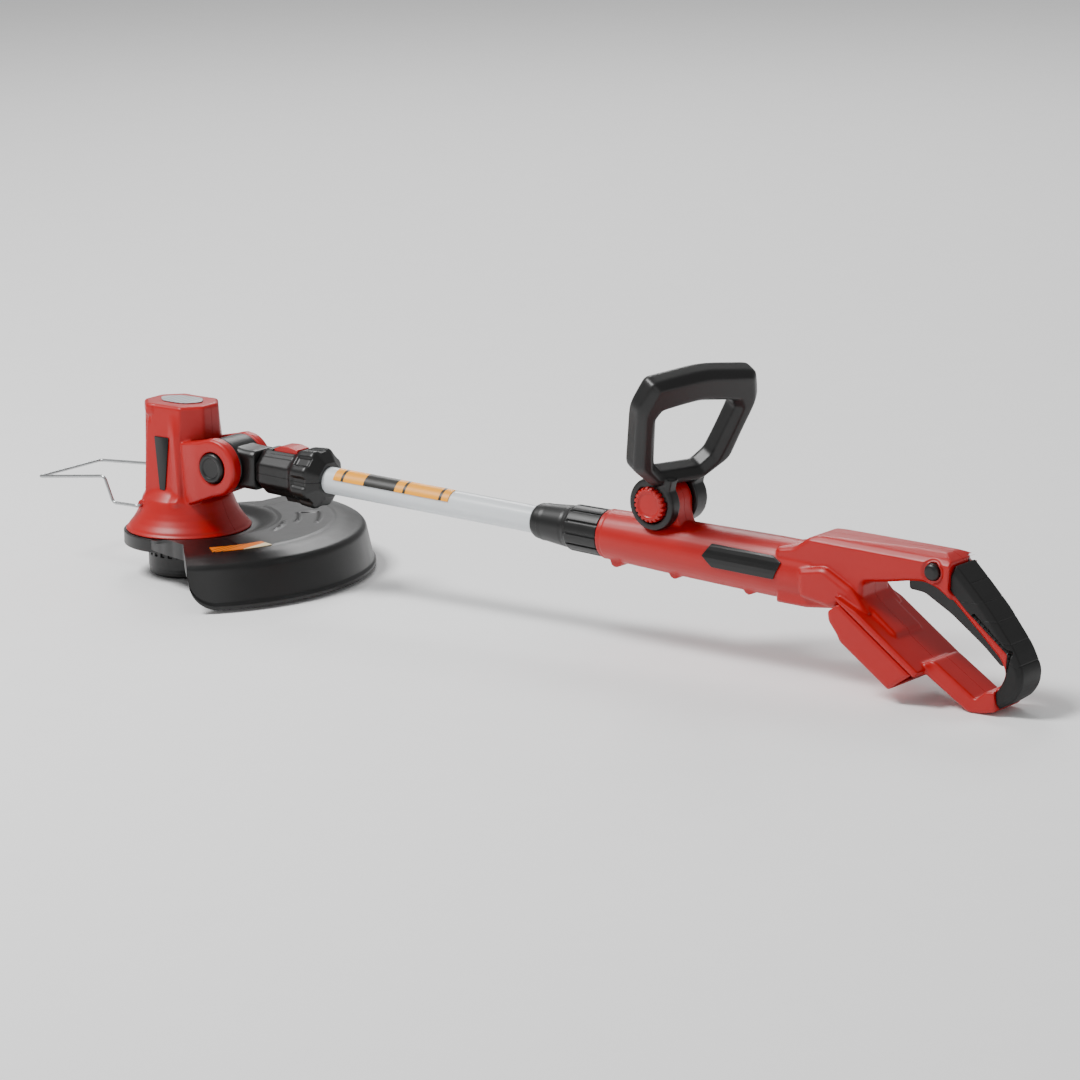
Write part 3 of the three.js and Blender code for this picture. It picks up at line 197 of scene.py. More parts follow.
def rounded(corners: Sequence[Sequence[float]], closed: bool = False) -> Grid:
    """A polyline whose corners (a, b, r) are rounded by quadratic arcs that start r before each corner."""
    points = [np.array(c[:2], float) for c in corners]
    radii = [c[2] if len(c) > 2 else 0.0 for c in corners]
    t = np.linspace(0, 1, ARC_STEPS + 1)[:, None]
    out: list[Grid] = []
    for i, (point, r) in enumerate(zip(points, radii)):
        open_end = not closed and i in (0, len(points) - 1)
        if r == 0 or open_end:
            out.append(point[None])
            continue
        before, after = points[i - 1] - point, points[(i + 1) % len(points)] - point
        enter = point + before / np.linalg.norm(before) * r
        leave = point + after / np.linalg.norm(after) * r
        out.append((1 - t) ** 2 * enter + 2 * t * (1 - t) * point + t**2 * leave)
    return np.concatenate(out)


def refined(profile: Grid, longest: float) -> Grid:
    """The same polyline with extra points, so that no stretch is longer than the given length."""
    out = [profile[:1]]
    for a, b in zip(profile[:-1], profile[1:]):
        count = max(1, math.ceil(float(np.linalg.norm(b - a)) / longest))
        out.append(a + (b - a) * np.linspace(0, 1, count + 1)[1:, None])
    return np.concatenate(out)


def beside_line(points: Points, corners: Sequence[Sequence[float]]) -> tuple[Grid, Grid]:
    """Distance from a polyline seen from the side, and how far along it the nearest place is."""
    line = np.array(corners, float)
    best, along, before = np.full(len(points), 1e9), np.zeros(len(points)), 0.0
    for start, run in zip(line, np.diff(line, axis=0)):
        length = np.linalg.norm(run)
        offset = points[:, [0, 2]] - start
        t = np.clip(offset @ run / length**2, 0, 1)
        away = np.linalg.norm(offset - t[:, None] * run, axis=1)
        nearer = away < best
        best = np.where(nearer, away, best)
        along = np.where(nearer, before + t * length, along)
        before += length
    return best, along


# ------------------------------------------------------------------ shells


@dataclass
class Shell:
    """One closed surface, in millimetres."""

    points: Points
    faces: list[tuple[int, ...]]

    def outward(self) -> "Shell":
        """Turns the faces round if the volume that they enclose comes out negative."""
        fans = [(f[0], f[i], f[i + 1]) for f in self.faces for i in range(1, len(f) - 1)]
        a, b, c = (self.points[np.array(fans)[:, k]] for k in range(3))
        if float((a * np.cross(b, c)).sum()) < 0:
            self.faces = [tuple(reversed(f)) for f in self.faces]
        return self


def quads(rows: int, columns: int, wrap_rows: bool, wrap_columns: bool) -> list[tuple[int, ...]]:
    """Faces between neighbours on a grid of points numbered row by row."""
    i = np.arange(rows if wrap_rows else rows - 1)[:, None]
    j = np.arange(columns if wrap_columns else columns - 1)[None, :]
    i2, j2 = (i + 1) % rows, (j + 1) % columns
    faces = np.stack([i * columns + j, i * columns + j2, i2 * columns + j2, i2 * columns + j], axis=-1)
    return [tuple(f) for f in faces.reshape(-1, 4).tolist()]


def loft(rows: Grid) -> Shell:
    """Closes a stack of round rows with a fan of faces at each end.

    Args:
        rows: (stations, around, 3) points; each row goes once round.
    Returns:
        A closed shell; each end fan meets at the mean of the end row.
    """
    count, around = rows.shape[:2]
    ends = np.stack([rows[0].mean(axis=0), rows[-1].mean(axis=0)])
    points = np.concatenate([rows.reshape(-1, 3), ends])
    first, last = count * around, count * around + 1
    faces = quads(count, around, False, True)
    for j in range(around):
        nxt = (j + 1) % around
        faces.append((first, nxt, j))
        faces.append((last, (count - 1) * around + j, (count - 1) * around + nxt))
    return Shell(points, faces).outward()


def ring(rows: Grid) -> Shell:
    """Closes a grid that runs round in both of its directions."""
    return Shell(rows.reshape(-1, 3), quads(*rows.shape[:2], True, True)).outward()


def slab(outer: Grid, inner: Grid) -> Shell:
    """Closes the room between two open grids of one size by strips along their four edges."""
    rows, columns = outer.shape[:2]
    loop = [(0, j) for j in range(columns)]
    loop += [(i, columns - 1) for i in range(1, rows)]
    loop += [(rows - 1, j) for j in range(columns - 2, -1, -1)]
    loop += [(i, 0) for i in range(rows - 2, 0, -1)]
    edge = [i * columns + j for i, j in loop]
    size = rows * columns
    front = quads(rows, columns, False, False)
    back = [tuple(size + k for k in reversed(f)) for f in front]
    strip = [(a, size + a, size + b, b) for a, b in zip(edge, edge[1:] + edge[:1])]
    return Shell(np.concatenate([outer.reshape(-1, 3), inner.reshape(-1, 3)]), front + back + strip).outward()


def turned(profile: Grid, axis: Axis, centre: Sequence[float] = (0, 0, 0), around: int = 96,
           shape: Callable[[Grid, Grid, Grid], Grid] | None = None) -> Shell:
    """Turns a profile of (radius, height) about an axis.

    Formula: point = centre + r (cos a, sin a) across the axis + h along it; shape may change r at (a, h).

    Args:
        profile: (n, 2) radii and heights. From axis to axis it is closed by fans, else it closes on itself.
        axis: the axis that it turns about.
        centre: a point on the axis.
        around: number of steps round the axis.
        shape: gives the radius from the radius, the angle and the height.
    Returns:
        A closed shell.
    """
    tipped = profile[0, 0] < 1e-6
    body = profile[1:-1] if tipped else profile
    angle = turns(around)[None, :]
    r, h = body[:, :1], body[:, 1:2]
    r = shape(r, angle, h) if shape else r
    grid = np.zeros((len(body), around, 3))
    across, up, along = axis.value
    grid[..., across] = r * np.cos(angle)
    grid[..., up] = r * np.sin(angle)
    grid[..., along] = h
    grid += np.array(centre)
    return loft(grid) if tipped else ring(grid)


def carried(path: Points, section: Grid) -> Shell:
    """Carries a flat section along an open path of points.

    Formula: at each point the section lies square to the path's direction, its first number along the
    sideways vector (direction x a fixed up) and its second along the third one.
    """
    ahead = np.roll(path, -1, axis=0) - np.roll(path, 1, axis=0)
    ahead[0], ahead[-1] = path[1] - path[0], path[-1] - path[-2]
    ahead /= np.linalg.norm(ahead, axis=1, keepdims=True)
    side = np.cross(ahead, SECTION_UP)
    side /= np.linalg.norm(side, axis=1, keepdims=True)
    third = np.cross(side, ahead)
    grid = path[:, None] + side[:, None] * section[None, :, :1] + third[:, None] * section[None, :, 1:2]
    return loft(grid)


def bent(points: Sequence[Sequence[float]], bend: float, steps: int) -> Points:
    """A path in space with straight stretches and a quadratic bend at each inner point."""
    corners = [np.array(p, float) for p in points]
    t = np.linspace(0, 1, steps + 1)[:, None]
    out = [corners[0][None]]
    for before, corner, after in zip(corners, corners[1:], corners[2:]):
        enter = corner + (before - corner) / np.linalg.norm(before - corner) * bend
        leave = corner + (after - corner) / np.linalg.norm(after - corner) * bend
        out.append((1 - t) ** 2 * enter + 2 * t * (1 - t) * corner + t**2 * leave)
    out.append(corners[-1][None])
    return np.concatenate(out)


# ------------------------------------------------------------------ finishes


def linear(colour: str) -> tuple[float, float, float, float]:
    """An sRGB hex colour as linear red, green, blue and 1."""
    parts = [int(colour[i : i + 2], 16) / 255 for i in (1, 3, 5)]
    light = [c / 12.92 if c <= 0.04045 else ((c + 0.055) / 1.055) ** 2.4 for c in parts]
    return (*light, 1.0)


def add(tree: bpy.types.NodeTree, kind: str, links: dict[str | int, bpy.types.NodeSocket] | None = None,
        inputs: dict[str | int, object] | None = None, **settings: object) -> bpy.types.Node:
    """Adds a node with its settings, its fixed inputs and the sockets that feed it."""
    made = tree.nodes.new(kind)
    for name, value in settings.items():
        setattr(made, name, value)
    for name, value in (inputs or {}).items():
        made.inputs[name].default_value = value
    for name, source in (links or {}).items():
        tree.links.new(source, made.inputs[name])
    return made


class Relief(Enum):
    """What the tool or process left on a surface."""

    NOISE = "fine uneven texture"
    GRAIN = "small raised cells of an eroded mould"
    STREAKS = "drawn or ground lines along one axis"


@dataclass(frozen=True)
class Finish:
    """A material and how its surface was made.

    The colour drifts a little between two tones, the roughness between two values, and the relief is a
    pattern whose size is a real length in millimetres.
    """

    name: str
    colour: str
    tone: str
    roughness: tuple[float, float]
    ior: float | None = 1.5
    metallic: float = 0.0
    relief: Relief = Relief.NOISE
    relief_mm: float = 0.8
    relief_depth_mm: float = 0.02
    streak_axis: int = 0
    coat: float = 0.0

    def base(self, tree: bpy.types.NodeTree, place: bpy.types.NodeSocket) -> bpy.types.NodeSocket:
        """The colour: two tones mixed by a soft cloud about 40 mm wide."""
        cloud = add(tree, "ShaderNodeTexNoise", {"Vector": place}, {"Scale": 1 / (40 * MM), "Detail": 3.0})
        mix = add(tree, "ShaderNodeMix", {"Factor": cloud.outputs["Fac"]}, data_type="RGBA")
        mix.inputs["A"].default_value = linear(self.colour)
        mix.inputs["B"].default_value = linear(self.tone)
        return mix.outputs["Result"]

    def height(self, tree: bpy.types.NodeTree, place: bpy.types.NodeSocket) -> bpy.types.NodeSocket:
        """The relief pattern, from 0 to 1."""
        scale = 1 / (self.relief_mm * MM)
        if self.relief is Relief.GRAIN:
            grain = add(tree, "ShaderNodeTexVoronoi", {"Vector": place}, {"Scale": scale})
            return grain.outputs["Distance"]
        if self.relief is Relief.STREAKS:
            stretch = [1.0, 1.0, 1.0]
            stretch[self.streak_axis] = 0.02
            place = add(tree, "ShaderNodeMapping", {"Vector": place}, {"Scale": stretch}).outputs["Vector"]
        noise = add(tree, "ShaderNodeTexNoise", {"Vector": place}, {"Scale": scale, "Detail": 4.0})
        return noise.outputs["Fac"]

    def material(self) -> bpy.types.Material:
        """Makes the material, or gives back the one already made."""
        if self.name in bpy.data.materials:
            return bpy.data.materials[self.name]
        made = bpy.data.materials.new(self.name)
        made.use_nodes = True
        tree = made.node_tree
        shader = tree.nodes["Principled BSDF"]
        place = add(tree, "ShaderNodeTexCoord").outputs["Object"]
        height = self.height(tree, place)
        smudge = add(tree, "ShaderNodeTexNoise", {"Vector": place}, {"Scale": 1 / (14 * MM), "Detail": 5.0})
        rough = add(tree, "ShaderNodeMapRange", {"Value": smudge.outputs["Fac"]},
                    {"To Min": self.roughness[0], "To Max": self.roughness[1]})
        bump = add(tree, "ShaderNodeBump", {"Height": height},
                   {"Strength": 0.6, "Distance": self.relief_depth_mm * MM})
        tree.links.new(self.base(tree, place), shader.inputs["Base Color"])
        tree.links.new(rough.outputs["Result"], shader.inputs["Roughness"])
        tree.links.new(bump.outputs["Normal"], shader.inputs["Normal"])
        shader.inputs["Metallic"].default_value = self.metallic
        if self.ior:
            shader.inputs["IOR"].default_value = self.ior
        if self.coat:
            shader.inputs["Coat Weight"].default_value = self.coat
            shader.inputs["Coat Roughness"].default_value = 0.12
        return made


@dataclass(frozen=True)
class PrintedLabel(Finish):
    """Printed film: coloured fields and plain bars laid out along one axis of the frame."""

    field_colour: str = "#FFFFFF"
    field_from: float = 0.0
    field_to: float = 0.0
    bar_colour: str = "#222222"
    bars: tuple[float, ...] = ()
    bar_half: float = 1.0
    along: int = 0

    def base(self, tree: bpy.types.NodeTree, place: bpy.types.NodeSocket) -> bpy.types.NodeSocket:
        """The film's colour, a second field between two places, and narrow bars over both."""
        colour = super().base(tree, place)
        split = add(tree, "ShaderNodeSeparateXYZ", {"Vector": place})
        along = split.outputs[self.along]
        if self.field_to > self.field_from:
            colour = self._strip(tree, colour, along, (self.field_from + self.field_to) / 2,
                                 (self.field_to - self.field_from) / 2, self.field_colour)
        for bar in self.bars:
            colour = self._strip(tree, colour, along, bar, self.bar_half, self.bar_colour)
        return colour

    def _strip(self, tree: bpy.types.NodeTree, under: bpy.types.NodeSocket, along: bpy.types.NodeSocket,
               centre: float, half: float, colour: str) -> bpy.types.NodeSocket:
        """Lays one band of colour, centred on a place in millimetres, over what is under it."""
        inside = add(tree, "ShaderNodeMath", {0: along}, {1: centre * MM, 2: half * MM}, operation="COMPARE")
        mix = add(tree, "ShaderNodeMix", {"Factor": inside.outputs[0]}, data_type="RGBA")
        tree.links.new(under, mix.inputs["A"])
        mix.inputs["B"].default_value = linear(colour)
        return mix.outputs["Result"]


# Injection-moulded ABS from a polished tool: glossy, with the faint ripple of the plastic's flow.
RED_ABS = Finish("abs_red_polished_mould", "#B00000", "#A60000", (0.36, 0.46), 1.5,
                 relief_mm=3.5, relief_depth_mm=0.03)
# Glass-filled nylon from a polished tool: black and fairly glossy, with a slight orange peel.
BLACK_NYLON = Finish("nylon_black_moulded", "#060606", "#0A0A0A", (0.34, 0.46), 1.5,
                     relief_mm=1.6, relief_depth_mm=0.03)
# The same nylon from an eroded tool: a fine matt grain, drawn at 0.9 mm so that it shows.
GUARD_NYLON = Finish("nylon_guard_eroded_mould", "#060606", "#0B0B0B", (0.32, 0.42), 1.5,
                     relief=Relief.GRAIN, relief_mm=0.9, relief_depth_mm=0.03)
# Thermoplastic elastomer moulded over the grip: soft and matt, with a leathery grain.
SOFT_GRIP = Finish("tpe_soft_grip_overmoulded", "#060606", "#0A0A0A", (0.46, 0.60), 1.46,
                   relief=Relief.GRAIN, relief_mm=1.1, relief_depth_mm=0.06)
# Unpainted grey acetal: dull and even, as machined or moulded inner parts are.
GREY_ACETAL = Finish("acetal_grey_moulded", "#B2B2AC", "#A6A6A0", (0.40, 0.52), 1.48, relief_depth_mm=0.02)
# Zinc-plated steel, turned or pressed: bright, with fine tool lines round or along the piece.
PLATED_STEEL = Finish("steel_zinc_plated", "#C3C6C8", "#AEB2B6", (0.24, 0.38), None, 1.0,
                      relief=Relief.STREAKS, relief_mm=0.5, relief_depth_mm=0.015)
# Stainless wire, drawn through a die: bright lines along the wire.
DRAWN_WIRE = Finish("steel_stainless_drawn_wire", "#BFC1C2", "#A9ABAC", (0.22, 0.34), None, 1.0,
                    relief=Relief.STREAKS, relief_mm=0.4, relief_depth_mm=0.01)
# Aluminium tube with a light satin powder coat: pale, with very fine extrusion lines along it.
COATED_TUBE = Finish("aluminium_tube_satin_coat", "#DDE1E4", "#D3D8DB", (0.26, 0.36), 1.5,
                     relief=Relief.STREAKS, relief_mm=1.2, relief_depth_mm=0.02, coat=0.3)
# Round nylon cutting line wound in rows: orange and glossy; the rows follow the reel's height.
NYLON_LINE = Finish("nylon_line_extruded", "#D8551E", "#C94A17", (0.28, 0.40), 1.53,
                    relief=Relief.STREAKS, relief_mm=1.6, relief_depth_mm=0.5)
# PVC sheath of the motor lead: smooth and slightly oily.
LEAD_PVC = Finish("pvc_lead_sheath_extruded", "#191919", "#202020", (0.38, 0.50), 1.52,
                  relief=Relief.STREAKS, relief_mm=2.0, relief_depth_mm=0.03)
# Glass-epoxy circuit board under green solder mask: glossy, with the cloth showing through.
BOARD_EPOXY = Finish("glass_epoxy_solder_mask", "#1F6B3A", "#1A5C31", (0.28, 0.40), 1.55,
                     relief=Relief.GRAIN, relief_mm=1.2, relief_depth_mm=0.02)
# Dark satin film, edge to edge: the plain plates on the housings.
BLACK_FILM = Finish("vinyl_film_black_satin", "#040404", "#070707", (0.28, 0.38), 1.5,
                    relief_mm=1.0, relief_depth_mm=0.01)
# Metallised polyester film with a grey print: silvery and softly reflecting.
SILVER_FILM = PrintedLabel("polyester_film_silver_print", "#B9BDC0", "#AFB4B8", (0.30, 0.40), 1.5, 0.35,
                           relief_mm=1.2, relief_depth_mm=0.01, bar_colour="#8F9499",
                           bars=(-16, -11, -6, -1, 4, 9), bar_half=0.7)
# Vinyl film with a yellow field and dark bars: satin, with the film's slight waviness.
YELLOW_FILM = PrintedLabel("vinyl_film_yellow_print", "#FFAA00", "#F7A000", (0.30, 0.42), 1.5,
                           relief_mm=2.0, relief_depth_mm=0.02, field_colour="#23221F", field_from=205,
                           field_to=238, bar_colour="#2A2824", bars=(182, 248, 286), bar_half=1.4)
# Vinyl film half amber, half cream: a plain two-part label.
AMBER_FILM = PrintedLabel("vinyl_film_amber_print", "#E87400", "#DE6C00", (0.30, 0.42), 1.5,
                          relief_mm=2.0, relief_depth_mm=0.02, field_colour="#F3DDB0", field_from=112,
                          field_to=140, bar_colour="#5A3C10", bars=(94, 98, 102), bar_half=0.5)


# ------------------------------------------------------------------ making pieces


def mesh_object(name: str, shells: Sequence[Shell], place: Place = GROUND) -> bpy.types.Object:
    """Puts closed shells into one mesh, in metres, with its place in its vertices."""
    points, faces, base = [], [], 0
    for shell in shells:
        points.append(place.world(shell.points) * MM)
        faces += [tuple(base + k for k in f) for f in shell.faces]
        base += len(shell.points)
    data = bpy.data.meshes.new(name)
    data.from_pydata(np.concatenate(points).tolist(), [], faces)
    data.update()
    made = bpy.data.objects.new(name, data)
    bpy.context.scene.collection.objects.link(made)
    return made


def smooth(made: bpy.types.Object, crease: float = SHARP_CREASE) -> None:
    """Shades a mesh smooth, and leaves edges sharper than the crease angle sharp."""
    data = made.data
    data.polygons.foreach_set("use_smooth", [True] * len(data.polygons))
    data.set_sharp_from_angle(angle=math.radians(crease))
    data.update()


def dress(made: bpy.types.Object, finish: Finish, body: str, slot: str, *nodes: str) -> bpy.types.Object:
    """Gives a piece its finish and body, hides the CAD nodes that it stands for, and reports it."""
    made.data.materials.clear()
    made.data.materials.append(finish.material())
    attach(made, body)
    if nodes:
        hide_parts(*nodes)
    log.info("%s: %d faces, %s", made.name, len(made.data.polygons), finish.name)
    return made


def copy_of(name: str, *nodes: str) -> bpy.types.Object:
    """A merged copy of CAD nodes: loose triangles joined, and flat fields made single faces again."""
    work = bmesh.new()
    for node in nodes:
        work.from_mesh(frame["nodes"][node].data)
    bmesh.ops.remove_doubles(work, verts=work.verts, dist=MERGE_DISTANCE)
    bmesh.ops.dissolve_limit(work, angle_limit=math.radians(FLAT_ANGLE), verts=work.verts, edges=work.edges)
    data = bpy.data.meshes.new(name)
    work.to_mesh(data)
    work.free()
    made = bpy.data.objects.new(name, data)
    bpy.context.scene.collection.objects.link(made)
    return made


def bevel(made: bpy.types.Object, width: float, segments: int = 3, angle: float = 28.0) -> None:
    """Rounds the edges of a piece by a live bevel, in millimetres."""
    modifier = made.modifiers.new("edge rounding", "BEVEL")
    modifier.width = width * MM
    modifier.segments = segments
    modifier.limit_method = "ANGLE"
    modifier.angle_limit = math.radians(angle)
    modifier.harden_normals = True


def baked(made: bpy.types.Object) -> None:
    """Applies a piece's modifiers, and leaves the result as its mesh."""
    bpy.context.view_layer.update()
    shown = made.evaluated_get(bpy.context.evaluated_depsgraph_get())
    data = bpy.data.meshes.new_from_object(shown)
    made.modifiers.clear()
    made.data = data


def fused(made: bpy.types.Object, voxel: float, passes: int) -> None:
    """Fuses overlapping shells to one skin of even small faces, and smooths it so that edges round over.

    Args:
        made: the piece, one or more closed shells.
        voxel: size of the new faces in millimetres.
        passes: how many times each point moves half way to the mean of its neighbours.
    """
    remesh = made.modifiers.new("fuse", "REMESH")
    remesh.mode = "VOXEL"
    remesh.voxel_size = voxel * MM
    soften = made.modifiers.new("soften", "SMOOTH")
    soften.factor = 0.5
    soften.iterations = passes
    baked(made)


def moved(made: bpy.types.Object, change: Callable[[Points, Points], Points]) -> None:
    """Moves a mesh's vertices by a function of their places and normals along the shaft, in millimetres."""
    data = made.data
    flat = np.empty(len(data.vertices) * 3)
    data.vertices.foreach_get("co", flat)
    normal = np.empty(len(data.vertices) * 3)
    data.vertices.foreach_get("normal", normal)
    turn = Place(0, 0, SHAFT.slope)
    local = SHAFT.local(flat.reshape(-1, 3) / MM)
    new = change(local, turn.local(normal.reshape(-1, 3)))
    data.vertices.foreach_set("co", (SHAFT.world(new) * MM).ravel())
    data.update()


def half(source: bpy.types.Object, name: str, side: int) -> bpy.types.Object:
    """Cuts a fused piece along the middle plane, keeps one side and closes the cut."""
    work = bmesh.new()
    work.from_mesh(source.data)
    everything = [*work.verts, *work.edges, *work.faces]
    cut = bmesh.ops.bisect_plane(work, geom=everything, dist=1e-7, clear_outer=True,
                                 plane_co=(0, side * JOINT_GAP / 2 * MM, 0), plane_no=(0, -side, 0))
    edges = [e for e in cut["geom_cut"] if isinstance(e, bmesh.types.BMEdge)]
    bmesh.ops.triangle_fill(work, use_beauty=True, edges=edges)
    bmesh.ops.recalc_face_normals(work, faces=work.faces)
    data = bpy.data.meshes.new(name)
    work.to_mesh(data)
    work.free()
    made = bpy.data.objects.new(name, data)
    bpy.context.scene.collection.objects.link(made)
    return made


def joined_halves(name: str, left: str, right: str) -> bpy.types.Object:
    """Both halves of a housing as overlapping shells: each one's flat joint is pushed past the middle."""
    made = copy_of(name, left, right)
    work = bmesh.new()
    work.from_mesh(made.data)
    seen: set[bmesh.types.BMVert] = set()
    for seed in work.verts:
        if seed in seen:
            continue
        island, front = {seed}, [seed]
        while front:
            front = [o for v in front for e in v.link_edges for o in [e.other_vert(v)] if o not in island]
            island.update(front)
        seen |= island
        side = 1 if sum(v.co.y for v in island) > 0 else -1
        for v in island:
            if abs(v.co.y) < JOINT_GAP * MM:
                v.co.y = -side * JOINT_OVERLAP * MM
    work.to_mesh(made.data)
    work.free()
    return made


def piece(node: str, shells: Sequence[Shell], finish: Finish, body: str, slot: str, place: Place = GROUND,
          crease: float = SHARP_CREASE) -> None:
    """Makes, smooths and dresses the fine piece that stands for one CAD node."""
    made = mesh_object(f"{node}_fine", shells, place)
    smooth(made, crease)
    dress(made, finish, body, slot, node)


def flat_piece(node: str, finish: Finish, body: str, slot: str, width: float, segments: int = 2) -> None:
    """Dresses a merged copy of a small CAD node, with its edges rounded by a live bevel."""
    made = copy_of(f"{node}_fine", node)
    bevel(made, width, segments)
    dress(made, finish, body, slot, node)


def soft_piece(node: str, finish: Finish, body: str, slot: str, voxel: float, passes: int,
               change: Callable[[Points, Points], Points] | None = None) -> None:
    """Dresses a remeshed and softened copy of a CAD node; change moves its skin."""
    made = copy_of(f"{node}_fine", node)
    fused(made, voxel, passes)
    if change:
        moved(made, change)
    smooth(made, SOFT_CREASE)
    dress(made, finish, body, slot, node)


def halved(whole: bpy.types.Object, nodes: Sequence[str], finish: Finish, body: str, slot: str) -> None:
    """Cuts a fused housing into its left and its right half, dresses both and drops the whole."""
    for node, side in zip(nodes, (-1, 1)):
        made = half(whole, f"{node}_fine", side)
        smooth(made, SOFT_CREASE)
        dress(made, finish, body, slot, node)
    bpy.data.objects.remove(whole)


def screw(centre: Sequence[float], axis: Axis, head_r: float, shank_r: float, under: float, top: float,
          tip: float) -> Shell:
    """A pan-head screw with a six-lobed socket.

    Formula: a turned profile from the tip over the shank and the domed head into the socket, whose radius
    is 0.42 + 0.07 cos 6a of the head's.

    Args:
        centre: a point on the screw's axis.
        axis: the axis.
        head_r: radius of the head.
        shank_r: radius of the shank.
        under: height of the head's seat.
        top: height of the head's top.
        tip: height of the shank's end.
    Returns:
        A closed shell.
    """
    way = 1 if top > under else -1
    socket = under + (top - under) * 0.45
    shank = [(0, tip), (shank_r - 0.3, tip, 0.2), (shank_r, tip + 0.6 * way, 0.2), (shank_r, under, 0.1)]
    dome = [(head_r, under, 0.2), (head_r, under + (top - under) * 0.4, 0.5), (head_r * 0.7, top, 0.5)]
    recess = [(head_r * 0.45, top, 0.1), (head_r * 0.42, socket, 0.1), (0, socket)]
    profile = rounded([*shank, *dome, *recess])
    deep = (profile[:, 0] < head_r * 0.5) & (np.abs(profile[:, 1] - under) <= abs(top - under))
    lobes = np.where(deep, 0.16, 0.0)[1:-1, None]
    lobes[: len(lobes) // 2] = 0

    def lobed(r: Grid, angle: Grid, h: Grid) -> Grid:
        """Waves the socket's wall and leaves the rest round."""
        return r * (1 + lobes * np.cos(6 * angle))

    return turned(profile, axis, centre, 48, lobed)


# ------------------------------------------------------------------ cutting head


@dataclass
class Spool:
    """Spool cap with its vents, bump button and the two line eyelets."""

    body: str = "spool"
    bump_r: float = 12.0
    stem_r: float = 7.7
    wall: float = 2.5
    vents: int = 28
    vent_depth: float = 1.4
    eyelet_z: float = 10.0
    radius: float = field(default_factory=lambda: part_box("spool_cap")[1].y / MM)
    top: float = field(default_factory=lambda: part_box("spool_cap")[1].z / MM)

    def cap(self) -> Shell:
        """A turned cup whose wall is recessed between its vent bars.

        Formula: r(a, z) = R - depth * band(z) * step(cos(vents a)) on the outside.
        """
        bore, inside = self.bump_r + 0.4, self.radius - self.wall
        corners = [(bore, 0, 0.3), (self.radius - 3, 0, 1), (self.radius - 0.8, 1.2, 1), (self.radius, 4, 1),
                   (self.radius, self.top, 0.4), (inside, self.top, 0.4), (inside, self.wall, 1),
                   (bore, self.wall, 0.3)]
        profile = refined(np.vstack([rounded(corners, closed=True), [[bore, 0.3]]]), 0.9)[:-1]

        def vented(r: Grid, angle: Grid, z: Grid) -> Grid:
            """Presses the vents into the outside."""
            slot = band(z, self.top - 8, self.top - 3.4, 0.5) * ease((np.cos(self.vents * angle) + 0.1) / 0.3)
            foot = band(z, 3, 6.4, 0.6) * 0.35
            return r - (r > inside + 1) * (self.vent_depth * slot + foot)

        return turned(profile, Axis.Z, around=self.vents * 14, shape=vented)

    def bump(self) -> Shell:
        """The button's flat foot and stem."""
        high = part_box("bump_button")[1].z / MM
        foot = [(0, 0), (self.bump_r, 0, 1.2), (self.bump_r, self.wall, 0.3)]
        stem = [(self.stem_r, self.wall, 0.3), (self.stem_r, high, 0.4), (0, high)]
        return turned(rounded([*foot, *stem]), Axis.Z, around=72)

    def eyelet(self, side: int) -> Shell:
        """A rolled steel bush in the wall; side is -1 at the front and 1 at the back."""
        inner, outer = self.radius - self.wall - 0.5, self.radius + 0.8
        corners = [(1.2, inner, 0.3), (2.4, inner, 0.3), (2.4, outer, 0.6), (1.2, outer, 0.5)]
        return turned(rounded([(r, side * h, c) for r, h, c in corners], closed=True), Axis.X,
                      (0, 0, self.eyelet_z), 40)

    def build(self) -> None:
        """Makes and dresses the cap, the button and the eyelets."""
        piece("spool_cap", [self.cap()], BLACK_NYLON, self.body, "black_plastic")
        piece("bump_button", [self.bump()], BLACK_NYLON, "bump", "black_plastic")
        for node, side in (("eyelet_front", -1), ("eyelet_back", 1)):
            piece(node, [self.eyelet(side)], PLATED_STEEL, self.body, "steel")


